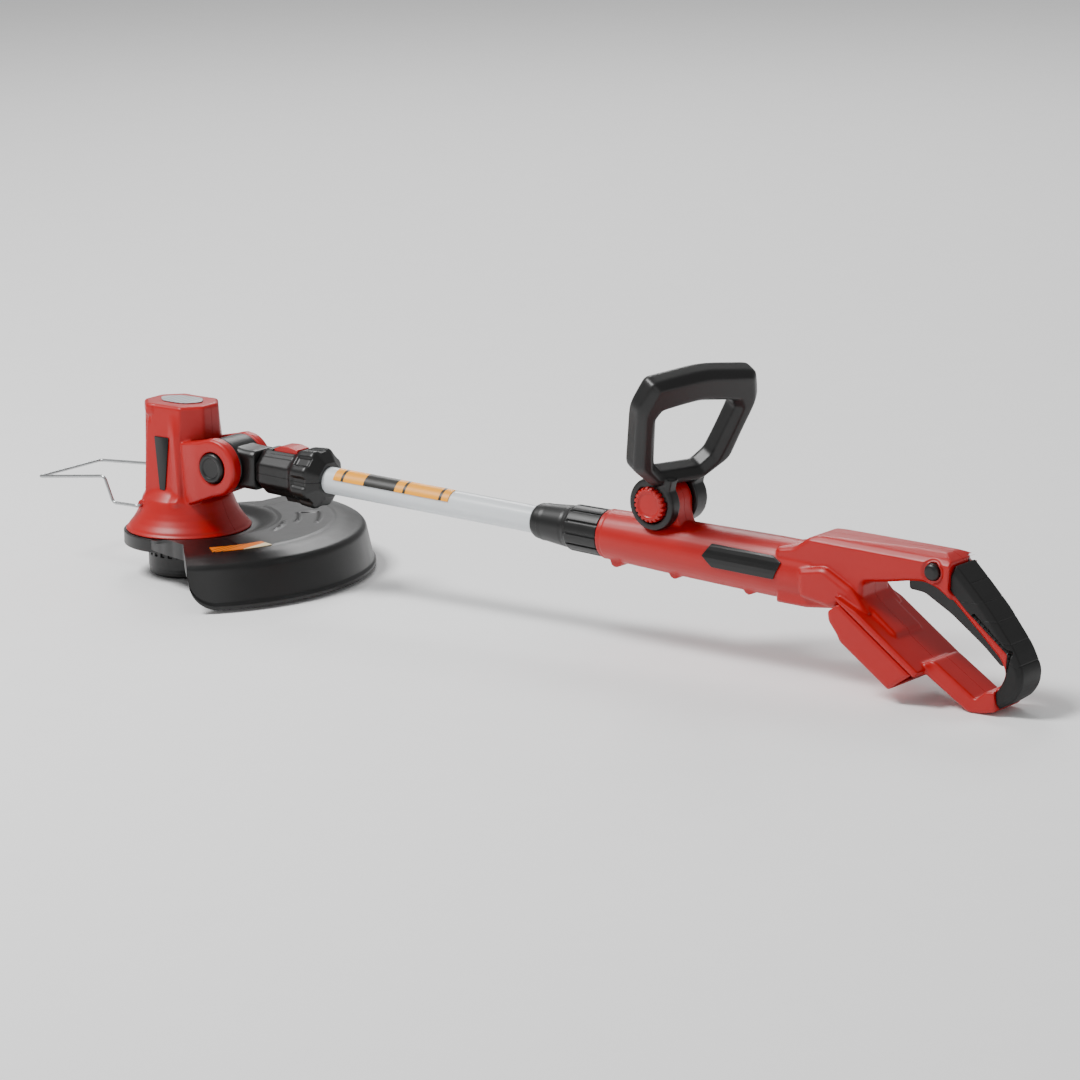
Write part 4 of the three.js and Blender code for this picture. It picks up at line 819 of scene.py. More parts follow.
@dataclass
class Guard:
    """The cutting guard: clamping ring, plate, wall with a beaded lip, and ribs along its two ends."""

    body: str = "head"
    turn: float = math.radians(18)
    wall: float = 2.6
    ring_top: float = 38.6
    top: float = 44.0
    lip: float = 3.0
    corner: float = 25.0
    rib_foot: float = 30.0
    radius: float = 160.0
    shoulder_z: float = 38.0
    wall_slope: float = 0.2
    crease: float = 30.0
    stations: int = 230

    def reach(self, r: Grid) -> Grid:
        """Half the angle that the guard spans at a radius: wide at the ring, narrower out to the wall."""
        radii = [56.0, 61.5, 67.6, 78, 90.8, 162.0]
        degrees = [102.3, 94.2, 86.6, 77, 69.4, 67.0]
        return np.radians(np.interp(r, radii, degrees))

    def profile(self) -> Grid:
        """The outside from the ring over the plate and down the wall to the lip, as (radius, height)."""
        r = self.radius
        plate = [(55, self.ring_top), (60, self.ring_top, 3), (73, self.top, 4), (r - 28, self.top, 7)]
        wall = [(r - 8, self.shoulder_z, 4), (r - 2, self.lip + 5, 1.2), (r, self.lip + 3, 0.8), (r, self.lip)]
        return refined(rounded([*plate, *wall]), 1.8)

    def swept(self, r: Grid, z: Grid, reach: Grid, a: Grid) -> Grid:
        """Carries a profile round by a fraction a of its half span, and rounds the wall's lower corners.

        Formula: the wall's drop below its shoulder shrinks near each end as a quarter circle asks:
        rise = c - sqrt(c^2 - (c - d)^2) at a distance d from the end.
        """
        distance = (1 - np.abs(a)) * reach * self.radius
        short = np.clip(self.corner - distance, 0, self.corner)
        rise = self.corner - np.sqrt(self.corner**2 - short**2)
        full = self.shoulder_z - self.lip
        low = z < self.shoulder_z
        raised = np.where(low & (r > 140), self.shoulder_z - (self.shoulder_z - z) * (full - rise) / full, z)
        r = r - self.wall_slope * (raised - z)
        z = raised
        angle = a * reach + self.turn
        return np.stack([r * np.cos(angle), r * np.sin(angle), z + 0 * angle], axis=-1)

    def forms(self, r: Grid, a: Grid, reach: Grid) -> Grid:
        """Height of the shallow forms on the plate.

        Formula: a low pad over most of it, a crescent whose middle line is r = 86.4 - 0.25 d - 0.004 d^2
        (d in degrees) and whose width falls to nothing at its ends, and the outline of a bracket that is
        open on one side.
        """
        degrees = np.degrees(a * reach)
        pad = 0.7 * band(degrees, -44, 56, 1.6) * band(r, 79, 125, 2.0)
        line = 86.4 - 0.25 * degrees - 0.004 * degrees**2
        thin = 1.5 * np.sqrt(np.clip(1 - ((degrees + 1) / 13) ** 2, 0, 1))
        crescent = 1.0 * ease((thin - np.abs(r - line)) / 0.7 + 0.4) * (thin > 0)
        whole = band(degrees, 9, 30, 0.6) * band(r, 94.5, 113, 0.8)
        inside = band(degrees, 5, 28.8, 0.6) * band(r, 96.4, 111, 0.8)
        return pad + crescent + 0.9 * whole * (1 - inside)

    def shield(self) -> Shell:
        """The plate and the wall: the profile and its inward offset, both carried round and closed.

        Formula: inner = outer - wall * normal, the normal being the profile's own.
        """
        outside = self.profile()
        along = np.gradient(outside, axis=0)
        along /= np.linalg.norm(along, axis=1, keepdims=True)
        inside = outside + self.wall * np.stack([along[:, 1], -along[:, 0]], axis=1)
        inside[0] = (55, self.ring_top - self.wall)
        even = np.linspace(-1, 1, self.stations)[None, :]
        a = 0.35 * np.sin(even * math.pi / 2) + 0.65 * even
        r, z = outside[:, :1], outside[:, 1:2]
        reach = self.reach(r)
        outer = self.swept(r, z, reach, a)
        outer[..., 2] += self.forms(r, a, reach)
        return slab(outer, self.swept(inside[:, :1], inside[:, 1:2], reach, a))

    def rib(self, side: int) -> Shell:
        """The rib that hangs from one end of the plate, from the ring out to the wall."""
        r = np.linspace(56.5, self.radius - 9, 60)
        outside = self.profile()
        high = np.interp(r, outside[:, 0], outside[:, 1]) - 1.0
        angle = side * self.reach(r) + self.turn
        plan = np.stack([r * np.cos(angle), r * np.sin(angle)], axis=-1)
        along = np.gradient(plan, axis=0)
        along /= np.linalg.norm(along, axis=1, keepdims=True)
        inward = side * np.stack([along[:, 1], -along[:, 0]], axis=-1) * self.wall
        levels = np.linspace(0, 1, 6)[:, None]
        z = high * (1 - levels) + self.rib_foot * levels

        def upright(line: Grid) -> Grid:
            """Stands a plan line up between the rib's foot and the plate."""
            return np.stack([line[:, 0] + 0 * z, line[:, 1] + 0 * z, z], axis=-1)

        return slab(upright(plan), upright(plan + inward))

    def clamp_ring(self) -> Shell:
        """The round collar of the guard under the motor housing."""
        flange = [(20, 38.6, 0.4), (20, 36, 0.4), (53.5, 36, 0.8)]
        rim = [(53.5, 27, 0.6), (56, 27, 0.8), (56, 38.6, 1.0)]
        corners = [*flange[1:], *rim, flange[0]]
        return turned(refined(rounded(corners, closed=True), 3), Axis.Z, around=160)

    def label(self) -> Shell:
        """A printed strip that follows the guard's round edge."""
        low, high = (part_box("guard_label")[k].z / MM for k in (0, 1))
        inner, outer = self.radius - 50, self.radius - 34
        r = np.linspace(inner, outer, 6)[:, None]
        angle = np.radians(np.linspace(-39.5, -15, 60))[None, :]
        flat = np.stack([r * np.cos(angle), r * np.sin(angle), 0 * r * angle], axis=-1)
        return slab(flat + (0, 0, high), flat + (0, 0, low))

    def build(self) -> None:
        """Makes and dresses the guard, its label, its screws and the line cutter."""
        shells = [self.shield(), self.clamp_ring(), self.rib(1), self.rib(-1)]
        piece("guard", shells, GUARD_NYLON, self.body, "black_plastic", crease=self.crease)
        label = mesh_object("guard_label_fine", [self.label()])
        dress(label, AMBER_FILM, self.body, "label_amber", "guard_label")
        for number in (1, 2, 3):
            node = f"guard_screw_{number}"
            low, high = (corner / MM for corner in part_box(node))
            at = ((low.x + high.x) / 2, (low.y + high.y) / 2, 0)
            screw_shell = screw(at, Axis.Z, 3.5, 1.7, low.z + 2.4, low.z, high.z)
            piece(node, [screw_shell], PLATED_STEEL, self.body, "steel")
        flat_piece("cutter_blade", PLATED_STEEL, self.body, "steel", 0.2)


@dataclass
class MotorHead:
    """The motor housing with its fork, and what is set into it."""

    body: str = "head"
    top: float = field(default_factory=lambda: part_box("head_housing_left")[1].z / MM)
    rim: float = field(default_factory=lambda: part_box("head_housing_left")[0].z / MM)
    base: float = 58.0
    crispness: float = 70.0
    near_cheek: tuple[float, float] = (-20.0, -31.0)
    far_cheek: tuple[float, float] = (12.0, 21.5)
    button_r: float = 12.9
    top_round: float = 3.2
    slot_step: float = 4.2

    def column(self, angle: Grid, z: Grid) -> Grid:
        """Reach of the eight-sided column, which draws in towards its top.

        Formula: the reach of the softened polygon with each side's normal divided by the taper at z.
        """
        corners = [(-37, -13), (-22, -31), (18, -31), (33, -12), (33, 12), (18, 31), (-22, 31), (-37, 13)]
        normals, depths = sides_of(corners)
        t = (z - self.base) / (self.top - self.base)
        wide = 1 - np.where(np.cos(angle) < 0, 0.03, 0.1) * t
        across = 1 - 0.2 * t
        total = 0
        for normal, depth in zip(normals, depths):
            facing = np.cos(angle) * math.cos(normal) / wide + np.sin(angle) * math.sin(normal) / across
            total = total + np.maximum(facing / depth, 0) ** self.crispness
        return total ** (-1 / self.crispness)

    def skirt(self, z: Grid) -> Grid:
        """Radius of the flared foot at a height."""
        heights = [0, 1.2, 2.4, 4.5, 8.5, 13.5, 19, 25, 28.4, 32, 38, 60]
        radii = [54, 54, 52.2, 51.2, 47.8, 44.6, 42.0, 39.8, 38.4, 34.6, 28, 16]
        return np.interp(z - self.rim, heights, radii)

    def forms(self, points: Points) -> Points:
        """Slanting ridges on both sides and vent slots in the front facets, as a change of radius."""
        x, y, z = points[..., 0], np.abs(points[..., 1]), points[..., 2]
        ridge_x = 9 + 8 * (140 - z) / 74
        ridge = 3.0 * np.maximum(0, 1 - np.abs(x - ridge_x) / 7.0) * ease((144 - z) / 22) * ease((z - 62) / 8)
        field_of_slots = band(y, 15, 26.5, 0.3) * band(z, 117, 138, 1.0) * (x < -16)
        slot = band((y - 14) % self.slot_step, 1.1, 3.0, 0.6) * field_of_slots
        cap_step = 0.8 * ease((z - 139.5) / 1.0) * (x < -14)
        return ridge * (y > 18) - 1.5 * slot + cap_step

    def tower(self) -> Shell:
        """Skirt and column as one turned skin of changing radius, with a rounded, slightly crowned top.

        Formula: r(a, z) = filleted max(column(a, z), skirt(z)) + forms; the top rounds in by a quarter
        ellipse and closes at a pole.
        """
        angle = turns(260)[None, :]
        foot = np.array([self.rim, self.rim + 0.4])
        bend = self.top_round
        side = np.concatenate([foot, np.linspace(self.rim + 1.0, self.top - bend, 150)])
        arc = np.linspace(0, math.pi / 2, 10)[1:]
        z = np.concatenate([side, self.top - bend + (bend - 0.3) * np.sin(arc)])[:, None]
        inset = np.concatenate([0 * side, bend * (1 - np.cos(arc))])[:, None]
        r = blended_max(self.column(angle, z), self.skirt(z), 4.0)
        r = np.where(z < self.rim + 0.2, r - 0.5, r)
        skin = np.stack([r * np.cos(angle), r * np.sin(angle), z + 0 * angle], axis=-1)
        r = r + self.forms(skin) - inset
        shrink = np.array([0.8, 0.55, 0.3, 0.08])[:, None]
        r = np.concatenate([r[:1] * 0.96, r, r[-1:] * shrink])
        z = np.concatenate([z[:1], z, self.top - 0.3 + 0.3 * (1 - shrink**2)])
        return loft(np.stack([r * np.cos(angle), r * np.sin(angle), z + 0 * angle], axis=-1))

    def cheek(self, inner: float, outer: float, r: float, seat: float) -> Shell:
        """One cheek of the fork: a disc round the tilt bolt that fans out to the column, with a recess.

        Formula: seen from the side its outline is the larger of the disc and the softened fan; the outer
        face falls back towards the column so that it sinks into it without a step.

        Args:
            inner: the face beside the knuckle.
            outer: the outside face.
            r: radius of the disc.
            seat: floor of the recess.
        Returns:
            A closed shell.
        """
        side = math.copysign(1, outer)
        fan = [(14, 62), (31.6, 67.5), (PIVOT.x + r * 0.6, PIVOT.z - r * 0.8), (PIVOT.x, PIVOT.z + r),
               (14, PIVOT.z + r - 8)]
        normals, depths = sides_of(fan, (PIVOT.x, PIVOT.z))
        angle = turns(200)
        outline = blended_max(polygon_reach(angle, normals, depths, 40.0), r + 0 * angle, 1.5)
        hole = self.button_r + 0.7
        stations = [(outline * 0.02, inner), (outline - 1.2, inner), (outline, inner + side * 1.2)]
        stations += [(outline - 3 * (1 - math.cos(t)), outer - side * 3 * (1 - math.sin(t)))
                     for t in np.linspace(0, math.pi / 2, 6)]
        start = outline - 3
        stations += [(start + (hole + 0.9 - start) * f, outer) for f in np.linspace(0, 1, 10)[1:]]
        rim = hole + 0 * angle
        stations += [(rim, outer - side * 0.9), (rim, seat), (rim * 0.02, seat)]
        reach = np.stack([s[0] for s in stations])
        y = np.array([s[1] for s in stations])[:, None] + 0 * reach
        x = PIVOT.x + reach * np.cos(angle)
        sink = (3.2 * ease((40 - x) / 26) + 3.4 * ease((21 - x) / 8)) * ease((side * y - side * inner) / 4)
        return loft(np.stack([x, y - side * sink, PIVOT.z + reach * np.sin(angle)], axis=-1))

    def lug(self, side: int) -> Shell:
        """The eye that holds one end of the wire guard."""
        profile = rounded([(0, side * 26), (5, side * 26), (5, side * 35, 0.8), (0, side * 35)])
        return turned(profile, Axis.Y, (-22, 0, 61), 40)

    def button(self) -> Shell:
        """The tilt release: a dished face inside a rounded rim."""
        low, high = (corner.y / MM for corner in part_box("pivot_button"))
        profile = rounded([(0, low + 1.0), (8.2, low + 1.0, 0.6), (9.2, low + 0.2, 0.5), (11.6, low, 1),
                           (self.button_r, low + 1.7, 0.8), (self.button_r, high, 0.9), (0, high)])
        return turned(profile, Axis.Y, (PIVOT.x, 0, PIVOT.z), 96)

    def cap(self) -> Shell:
        """The plain cap over the bolt's other end."""
        low, high = (corner.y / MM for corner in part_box("pivot_cap"))
        profile = rounded([(0, low), (self.button_r, low, 0.3), (self.button_r, high - 1.6, 1),
                           (self.button_r - 2, high, 0.8), (7, high, 0.4), (6.2, high - 0.8, 0.4),
                           (0, high - 0.8)])
        return turned(profile, Axis.Y, (PIVOT.x, 0, PIVOT.z), 96)

    def build(self) -> None:
        """Makes and dresses the housing halves, the button, the cap and the two plates."""
        near, far = self.near_cheek, self.far_cheek
        shells = [self.tower(), self.cheek(*near, 24.5, near[0] - 1.7), self.cheek(*far, 23.0, far[0] + 4)]
        whole = mesh_object("housing_source", [*shells, self.lug(1), self.lug(-1)])
        fused(whole, 0.8, 2)
        halved(whole, ("head_housing_left", "head_housing_right"), RED_ABS, self.body, "red_abs")
        piece("pivot_button", [self.button()], BLACK_NYLON, "pivot_button", "black_plastic")
        piece("pivot_cap", [self.cap()], BLACK_NYLON, self.body, "black_plastic")
        flat_piece("head_name_plate", BLACK_FILM, self.body, "black_plastic", 0.25)
        flat_piece("head_top_label", SILVER_FILM, self.body, "label_silver", 0.25)


@dataclass
class WireGuard:
    """The folding plant guard: one wire, bent at both feet and at both tips."""

    body: str = "wire_guard"
    wire_r: float = 1.4
    pivot: tuple[float, float] = (-22.0, 61.0)
    bend: float = 4.0
    half_width: float = 39.0

    def leg(self, side: int, rise: float) -> list[tuple[float, float, float]]:
        """The bends of one leg, from its eye in the housing to the front bar."""
        x, z = self.pivot
        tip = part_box("wire_guard")[0].x / MM + self.wire_r
        y = side * self.half_width
        return [(x, side * 31, z), (x, y, z), (x - 29, y, z - 0.5), (x - 38.5, y, z + rise), (tip, y, z + 12)]

    def build(self) -> None:
        """Carries the round section along the whole wire."""
        corners = [*self.leg(-1, 21.5), *reversed(self.leg(1, 17))]
        angle = turns(16)
        section = self.wire_r * np.stack([np.cos(angle), np.sin(angle)], axis=1)
        wire = carried(bent(corners, self.bend, 8), section)
        piece("wire_guard", [wire], DRAWN_WIRE, self.body, "steel", crease=60)


# ------------------------------------------------------------------ neck and tube


@dataclass
class Neck:
    """The knuckle that the head tilts on, and the two-part collar that turns on its spigot."""

    knuckle_r: float = 23.0
    knuckle_y: tuple[float, float] = (-19.6, 11.6)
    neck_end: float = 36.0
    spigot_r: float = 13.5
    tube_front: float = 61.5
    tube_r: float = 11.35
    collar_front: float = 36.4
    collar_end: float = 105.0
    crease: float = 34.0
    screws: tuple[tuple[float, float], ...] = ((86, -14.2), (92, 14.2))

    def knuckle(self) -> list[Shell]:
        """A disc, an arm of softened rectangular section that narrows from it, and a round spigot."""
        low, high = self.knuckle_y
        r, edge = self.knuckle_r, 1.6
        disc = turned(rounded([(0, low), (r - edge, low, 1), (r, low + edge, 0.9), (r, high - edge, 0.9),
                               (r - edge, high, 1), (0, high)]), Axis.Y, around=120)
        angle = turns(96)[None, :]
        u = np.array([0, 8, 16, 22, 30, 34.4, 35.4, self.neck_end])[:, None]
        tall = np.interp(u, [0, 16, 22, 34.4, 35.4, 36], [21, 17.6, 17, 17, 16.6, 15.6])
        wide = np.interp(u, [0, 34.4, 35.4, 36], [14.8, 14.8, 14.4, 13.4])
        corner = (tall + wide - 3.5) / math.sqrt(2)
        normals = [k * math.pi / 4 for k in range(8)]
        depths = [wide if k % 4 == 0 else tall if k % 4 == 2 else corner for k in range(8)]
        r = polygon_reach(angle, normals, depths, 34.0)
        centre = (low + edge + high) / 2
        arm = loft(np.stack([u + 0 * r, centre + r * np.cos(angle), r * np.sin(angle)], axis=-1))
        spigot = turned(rounded([(0, 30), (self.spigot_r, 30), (self.spigot_r, self.tube_front - 1, 0.8),
                                 (0, self.tube_front - 1)]), Axis.X, around=96)
        return [disc, arm, spigot]

    def collar(self, side: int) -> Shell:
        """One half of the collar: side 1 above the joint, -1 below.

        Formula: the outside is a softened octagon whose size follows the profile along the tube; round the
        flange it falls back between eight lobes. Above, it is cut down to the button's slot; below, it
        swells to the square boss. The inside is the spigot's bore and then the tube's.
        """
        corners = [(16, self.collar_front), (19.5, 42.4, 1.6), (20, 75, 2), (23.6, 81, 2), (24.8, 96, 2.4),
                   (14.5, self.collar_end)]
        outside = refined(rounded(corners), 0.9)
        a = np.linspace(0, math.pi, 150)[None, :]
        size, u = outside[:, :1], outside[:, 1:2]
        octagon = polygon_reach(a, [k * math.pi / 4 for k in range(-1, 6)], [1.0] * 7, 34.0)
        lobe = 1 - 0.085 * ease((np.cos(8 * a) + 0.35) / 0.9) * band(u, 83, 95, 3.0)
        r = size * octagon * lobe
        v, w = r * np.cos(a), r * np.sin(a)
        rib = 0.5 * band(u, 43.5, 74, 0.8) * band(np.abs(v), 11.5, 13.5, 0.6)
        w = w + rib
        if side > 0:
            slot = (np.abs(v) < 8.6) & (u > 49.1) & (u < 76.9)
            w = np.where(slot, np.minimum(w, 13.9), w)
        else:
            boss = 23 * band(v, -6.6, 6.6, 0.8) * band(u, 62.6, 77.4, 0.9)
            w = np.maximum(w, boss)
        bore = np.where(u < self.tube_front, self.spigot_r + 0.2, self.tube_r + 0.3)
        outer = np.stack([u + 0 * v, v, side * np.maximum(w, 0.15)], axis=-1)
        inner = np.stack([u + 0 * v, bore * np.cos(a), side * np.maximum(bore * np.sin(a), 0.15)], axis=-1)
        return slab(outer, inner)

    def build(self) -> None:
        """Makes and dresses the knuckle, the collar's halves, its button and its screws."""
        piece("pivot_knuckle", self.knuckle(), BLACK_NYLON, "knuckle", "black_plastic", SHAFT)
        for node, side in (("collar_upper", 1), ("collar_lower", -1)):
            piece(node, [self.collar(side)], BLACK_NYLON, "tube", "black_plastic", SHAFT, self.crease)
        flat_piece("collar_button", RED_ABS, "collar_button", "red_abs", 0.5, 3)
        for number, (u, v) in enumerate(self.screws, 1):
            shell = screw((u, v, 0), Axis.Z, 3, 1.4, -12.3, -14.2, 10)
            piece(f"collar_screw_{number}", [shell], PLATED_STEEL, "tube", "steel", SHAFT)


@dataclass
class Tube:
    """The telescopic tube, its label and the nut that clamps it."""

    radius: float = 11.35
    wall: float = 1.5
    front: float = 61.5
    back: float = 545.0
    label: tuple[float, float] = (117.0, 239.0)
    label_arc: tuple[float, float] = (2.0, 70.0)
    nut: tuple[float, float] = (325.0, 395.6)
    grooves: int = 12
    groove_depth: float = 1.3

    def tube(self) -> Shell:
        """A thin ring profile turned about the shaft."""
        inner = self.radius - self.wall
        corners = [(inner, self.front, 0.3), (self.radius, self.front, 0.4), (self.radius, self.back, 0.4),
                   (inner, self.back, 0.3)]
        return turned(refined(rounded(corners, closed=True), 40), Axis.X, around=120)

    def film(self) -> Shell:
        """A label bent round the upper left of the tube."""
        u = np.linspace(*self.label, 40)[:, None]
        angle = np.radians(np.linspace(*self.label_arc, 30))[None, :]

        def sheet(r: float) -> Grid:
            """The film's surface at a radius."""
            return np.stack([u + 0 * angle, -r * np.sin(angle) + 0 * u, r * np.cos(angle) + 0 * u], axis=-1)

        return slab(sheet(self.radius + 0.75), sheet(self.radius + 0.3))

    def clamp(self) -> Shell:
        """The clamp nut: a cone with a knurled back end.

        Formula: r(a, u) = profile(u) - groove depth * step(cos(12 a)) over the back end.
        """
        front, back = self.nut
        corners = [(11.75, front, 0.4), (13, front, 0.6), (14.6, front + 3, 1), (17.6, front + 37, 0.6),
                   (18.9, front + 39, 0.6), (19.4, back, 0.8), (15.4, back, 0.3), (15.4, front + 8, 0.3),
                   (11.75, front + 8, 0.3)]
        profile = refined(rounded(corners, closed=True), 1.5)

        def knurled(r: Grid, angle: Grid, u: Grid) -> Grid:
            """Cuts the finger grooves, which run out at the cone."""
            grip_end = band(u, front + 41, back + 4, 2)
            groove = self.groove_depth * ease((np.cos(self.grooves * angle) - 0.72) / 0.2) * grip_end
            ring = 0.5 * band(u, front + 33, front + 34, 0.8)
            return r - (r > 15.8) * (groove + ring)

        return turned(profile, Axis.X, around=self.grooves * 26, shape=knurled)

    def build(self) -> None:
        """Makes and dresses the tube, the label and the nut."""
        piece("shaft_tube", [self.tube()], COATED_TUBE, "tube", "tube", SHAFT)
        piece("tube_label", [self.film()], YELLOW_FILM, "tube", "label_yellow", SHAFT)
        piece("clamp_nut", [self.clamp()], BLACK_NYLON, "clamp_nut", "black_plastic", SHAFT)


# ------------------------------------------------------------------ handles


@dataclass
class FrontHandle:
    """The loop handle on its fork, with the knob that clamps it."""

    pivot: tuple[float, float] = (452.8, 37.0)
    lean: float = math.radians(21.9)
    yaw: float = math.radians(-18.7)
    depth: float = 23.0
    chamfer: float = 5.6
    fork_r: float = 21.3
    near: tuple[float, float] = (-22.0, -11.2)
    far: tuple[float, float] = (11.2, 27.0)
    knob_r: float = 14.4
    notches: int = 20

    def leaned(self, points: Points) -> Points:
        """Leans points back about Y."""
        return Place(0, 0, self.lean).world(points)

    def at_pivot(self, shell: Shell) -> Shell:
        """Moves a shell drawn about the handle's bolt to its place along the shaft."""
        shell.points = shell.points + np.array([self.pivot[0], 0, self.pivot[1]])
        return shell

    def loop(self) -> Shell:
        """The grip loop.

        Formula: seen square on, an outer and an inner softened polygon are given by their reach from the
        loop's middle at each angle; the section between them is a chamfered rectangle with soft corners,
        which is carried round, leaned back and turned.
        """
        centre = (0, 70)
        outer_corners = mirrored([(22, 19), (46.5, 38), (58.2, 95), (49.6, 119.5)], (0, 126))
        inner_corners = mirrored([(18.4, 33), (28, 42.5), (38, 86), (33.5, 93.5)], (0, 97.5))
        psi = turns(300)[:, None]
        outer = polygon_reach(psi, *sides_of(outer_corners, centre), 38.0)
        inner = polygon_reach(psi, *sides_of(inner_corners, centre), 60.0)
        middle_r, m, b = (outer + inner) / 2, (outer - inner) / 2, self.depth / 2
        phi = turns(56)[None, :]
        sides = [m, b, m, b]
        normals = [0, math.pi / 2, math.pi, -math.pi / 2]
        diagonal = (m + b - self.chamfer) / math.sqrt(2)
        normals += [math.pi / 4 + k * math.pi / 2 for k in range(4)]
        rho = polygon_reach(phi + 0 * psi, normals, [*sides, *[diagonal] * 4], 40.0)
        r = middle_r + rho * np.cos(phi)
        local = np.stack([rho * np.sin(phi), r * np.cos(psi), centre[1] + r * np.sin(psi)], axis=-1)
        c, s = math.cos(self.yaw), math.sin(self.yaw)
        p = self.leaned(local)
        x, y = p[..., 0], p[..., 1]
        return ring(np.stack([x * c - y * s, x * s + y * c, p[..., 2]], axis=-1))

    def fork(self) -> list[Shell]:
        """The fork's two discs, each with a recess, and the necks that join them to the loop."""
        r = self.fork_r
        near_low, near_high = self.near
        far_low, far_high = self.far
        recess = self.knob_r + 1.2
        knob_seat, bolt_seat = near_low + 6, far_high - 5
        near = turned(rounded([(0, knob_seat), (recess, knob_seat, 0.3), (recess, near_low, 0.6),
                               (r - 1.2, near_low, 1), (r, near_low + 1.4, 1), (r, near_high),
                               (0, near_high)]), Axis.Y, around=140)
        far = turned(rounded([(0, far_low), (r, far_low), (r, far_high - 1.4, 1), (r - 1.2, far_high, 1),
                              (8, far_high, 0.5), (8, bolt_seat, 0.3), (0, bolt_seat)]), Axis.Y, around=140)
        necks = []
        angle = turns(64)[None, :]
        for low, high in (self.near, self.far):
            s = np.linspace(9, 27, 10)[:, None]
            half_x = np.interp(s, [9, 27], [13.0, 10.0])
            half_y = (high - low) / 2 - 0.2
            reach = polygon_reach(angle + 0 * s, [k * math.pi / 2 for k in range(4)],
                                  [half_x, half_y, half_x, half_y], 16.0)
            x, y = reach * np.cos(angle), (low + high) / 2 + reach * np.sin(angle)
            necks.append(loft(self.leaned(np.stack([x, y, s + 0 * angle], axis=-1))))
        return [near, far, *necks]

    def knob(self) -> Shell:
        """The clamp knob: a dished face and notches round its rim, r(a) = R - depth * step(cos(20 a))."""
        low, high = (corner.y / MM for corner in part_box("handle_knob"))
        profile = rounded([(0, low + 1.2), (9.4, low + 1.2, 0.5), (10.4, low + 0.2, 0.5), (13, low, 0.8),
                           (self.knob_r, low + 1.4, 0.7), (self.knob_r, high, 0.3), (0, high)])

        def notched(r: Grid, angle: Grid, y: Grid) -> Grid:
            """Cuts the notches into the rim."""
            return r - (r > 11.6) * 1.3 * ease((np.cos(self.notches * angle) - 0.15) / 0.35)

        return turned(refined(profile, 1.2), Axis.Y, around=self.notches * 16, shape=notched)

    def build(self) -> None:
        """Makes and dresses the loop with its fork, and the knob."""
        shells = [self.at_pivot(shell) for shell in (self.loop(), *self.fork())]
        handle = mesh_object("front_handle_fine", shells, SHAFT)
        fused(handle, 0.9, 3)
        smooth(handle, SOFT_CREASE)
        dress(handle, BLACK_NYLON, "front_handle", "black_plastic", "front_handle")
        piece("handle_knob", [self.at_pivot(self.knob())], RED_ABS, "handle_knob", "red_abs", SHAFT)


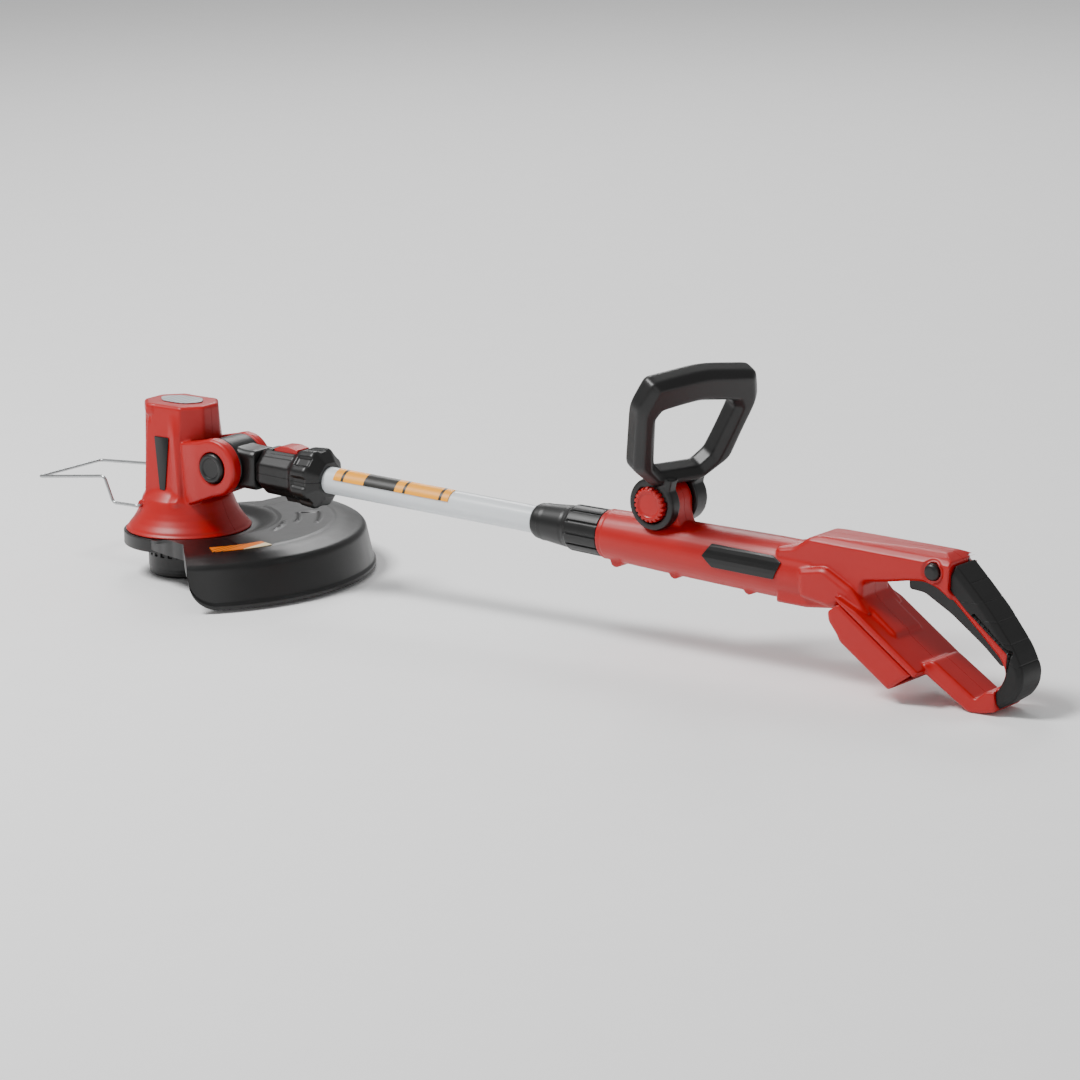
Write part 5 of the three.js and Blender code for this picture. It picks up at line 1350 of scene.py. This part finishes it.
@dataclass
class RearHandle:
    """The battery handle: housing halves, shoe, soft grip, trigger, lock button, plate and screws."""

    body: str = "rear_handle"
    screws: tuple[tuple[float, float], ...] = ((411, -18.5), (469, -18.5), (541, -19.5), (729, 31))
    lock: tuple[float, float] = (717.0, 24.5)
    lock_r: float = 6.6
    grip_line: tuple[tuple[float, float], ...] = ((744, 22), (768, 0), (789, -28), (795, -50))
    split_line: tuple[tuple[float, float], ...] = (
        (753, -5), (767, -16), (779.5, -26.6), (785.5, -29), (782, -43))
    split_half: float = 1.9
    split_depth: float = 4.8

    def housing_forms(self, p: Points, n: Points) -> Points:
        """A sunk ring round the lock button and a thin step round the barrel's front."""
        reach = np.hypot(p[:, 0] - self.lock[0], p[:, 2] - self.lock[1])
        ring_depth = 0.9 * band(reach, self.lock_r + 0.4, self.lock_r + 2.6, 0.7) * (np.abs(n[:, 1]) > 0.6)
        round_r = np.hypot(p[:, 1], p[:, 2])
        step = 0.5 * band(p[:, 0], 399.5, 400.5, 0.7) * (np.abs(round_r - 20.6) < 1.4)
        return p - n * (ring_depth + step)[:, None]

    def grip_forms(self, p: Points, n: Points) -> Points:
        """Slanting grooves across the grip, and the split between its two fields on each side.

        Formula: s is the distance along the back line of the nearest point of it and t the distance from it;
        depth = d * band of (s + 0.9 t) modulo the step. Along the split the skin is pressed in until the
        housing under it shows.
        """
        best, along = beside_line(p, self.grip_line)
        wave = (along + 0.9 * best + 4) % 19.0
        groove = 0.5 * band(wave, 8.0, 8.3, 0.6) * band(along, 4, 78, 4)
        outside = n[:, 1] * np.sign(p[:, 1]) > 0.45
        away, _ = beside_line(p, self.split_line)
        split = self.split_depth * ease((self.split_half - away) / 0.8) * outside
        return p - n * np.maximum(groove, split)[:, None]

    def lock_button(self) -> Shell:
        """The lock-off button: a pin through the handle with a domed end on the left."""
        low, high = (corner.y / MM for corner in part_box("lock_off_button"))
        r = self.lock_r
        profile = rounded([(0, low), (r - 2.4, low + 0.1, 1), (r - 0.8, low + 0.9, 0.8), (r, low + 2.2, 0.6),
                           (r, high - 0.6, 0.4), (r - 0.6, high, 0.3), (0, high)])
        return turned(profile, Axis.Y, (self.lock[0], 0, self.lock[1]), 64)

    def build(self) -> None:
        """Makes and dresses every piece of the handle."""
        whole = joined_halves("handle_source", "handle_housing_left", "handle_housing_right")
        fused(whole, 1.05, 4)
        moved(whole, self.housing_forms)
        halved(whole, ("handle_housing_left", "handle_housing_right"), RED_ABS, self.body, "red_abs")
        soft_piece("lower_shell", RED_ABS, self.body, "red_abs", 0.9, 4)
        soft_piece("rear_grip", SOFT_GRIP, self.body, "soft_grip", 0.7, 3, self.grip_forms)
        soft_piece("trigger", BLACK_NYLON, "trigger", "black_plastic", 0.6, 4)
        piece("lock_off_button", [self.lock_button()], BLACK_NYLON, "lock_off_button", "black_plastic", SHAFT)
        flat_piece("handle_plate", BLACK_FILM, self.body, "black_plastic", 0.3)
        for number, (u, w) in enumerate(self.screws, 1):
            shell = screw((u, 0, w), Axis.Y, 3, 1.4, 8.6, 10.7, -4.5)
            piece(f"handle_screw_{number}", [shell], PLATED_STEEL, self.body, "steel", SHAFT)


# ------------------------------------------------------------------ inner pieces


INNER_FINISHES: dict[str, Finish] = {
    "line_spool": GREY_ACETAL, "line_pack": NYLON_LINE, "feed_spring": DRAWN_WIRE, "drive_hub": BLACK_NYLON,
    "motor_shaft": PLATED_STEEL, "motor_can": PLATED_STEEL, "motor_mount": PLATED_STEEL,
    "pivot_bolt": PLATED_STEEL, "pivot_spring": DRAWN_WIRE, "cutter_screw_1": PLATED_STEEL,
    "cutter_screw_2": PLATED_STEEL, "collar_spring": PLATED_STEEL, "motor_lead": LEAD_PVC,
    "collet": GREY_ACETAL, "trigger_pin": PLATED_STEEL, "trigger_spring": DRAWN_WIRE,
    "switch_module": BLACK_NYLON, "control_board": BOARD_EPOXY, "battery_terminal": BLACK_NYLON,
    "handle_bolt": PLATED_STEEL,
}


def dress_inner_pieces() -> None:
    """Gives every CAD node that stays in sight or inside its own finish."""
    for node, finish in INNER_FINISHES.items():
        made = frame["nodes"][node]
        made.data.materials.clear()
        made.data.materials.append(finish.material())
        log.info("%s: carried over, %s", node, finish.name)


# ------------------------------------------------------------------ studio


@dataclass
class Studio:
    """A pale floor, three soft lamps, a pale surround and the camera."""

    target: Vector = field(default_factory=lambda: Vector((0.3810, 0.0, 0.0759)))
    azimuth: float = math.radians(37.75)
    elevation: float = math.radians(13.38)
    roll: float = math.radians(-1.08)
    distance: float = 4.0
    lens: float = 164.3

    def floor(self) -> None:
        """A wide pale floor: one flat grid."""
        side = np.linspace(-6, 6, 3)
        x, y = np.meshgrid(side, side, indexing="ij")
        points = np.stack([x, y, 0 * x - 0.0004], axis=-1).reshape(-1, 3)
        data = bpy.data.meshes.new("studio_floor")
        data.from_pydata(points.tolist(), [], quads(3, 3, False, False))
        data.update()
        made = bpy.data.objects.new("studio_floor", data)
        bpy.context.scene.collection.objects.link(made)
        paper = Finish("paper_sweep_matt", "#FFFFFF", "#FCFCFC", (0.75, 0.85), 1.45, relief_mm=3.0,
                       relief_depth_mm=0.01)
        made.data.materials.append(paper.material())

    def lamp(self, name: str, place: Sequence[float], size: float, power: float) -> None:
        """A square soft lamp that faces the target."""
        data = bpy.data.lights.new(name, "AREA")
        data.size = size
        data.energy = power
        made = bpy.data.objects.new(name, data)
        made.location = place
        made.rotation_euler = (self.target - Vector(place)).to_track_quat("-Z", "Y").to_euler()
        bpy.context.scene.collection.objects.link(made)

    def camera(self) -> None:
        """A long lens from the front left, a little above the tool."""
        ca, sa = math.cos(self.azimuth), math.sin(self.azimuth)
        ce, se = math.cos(self.elevation), math.sin(self.elevation)
        right = Vector((ca, sa, 0))
        back = Vector((sa * ce, -ca * ce, se))
        up = back.cross(right)
        cr, sr = math.cos(self.roll), math.sin(self.roll)
        across, above = cr * right + sr * up, -sr * right + cr * up
        data = bpy.data.cameras.new("studio_camera")
        data.lens = self.lens
        data.sensor_width = 36
        made = bpy.data.objects.new("studio_camera", data)
        turn = Matrix((across, above, back)).transposed().to_4x4()
        made.matrix_world = Matrix.Translation(self.target + back * self.distance) @ turn
        bpy.context.scene.collection.objects.link(made)
        bpy.context.scene.camera = made

    def build(self) -> None:
        """Sets up the floor, the lamps, the surround and the camera."""
        self.floor()
        self.camera()
        self.lamp("key_lamp", (-0.9, -1.3, 2.8), 1.0, 120)
        self.lamp("fill_lamp", (2.6, -2.2, 1.0), 1.6, 10)
        self.lamp("back_lamp", (-1.5, 2.4, 2.2), 1.2, 35)
        world = bpy.data.worlds.new("studio_surround")
        world.use_nodes = True
        surround = world.node_tree.nodes["Background"]
        surround.inputs["Color"].default_value = linear("#FFFFFF")
        surround.inputs["Strength"].default_value = 0.42
        bpy.context.scene.world = world


def main() -> None:
    """Builds the sub-assemblies in order, from the ground up and from the head to the hand."""
    for assembly in (Studio(), Spool(), Guard(), MotorHead(), WireGuard(), Neck(), Tube(), FrontHandle(),
                     RearHandle()):
        log.info("building %s", type(assembly).__name__)
        assembly.build()
    dress_inner_pieces()


if __name__ == "__main__":
    main()
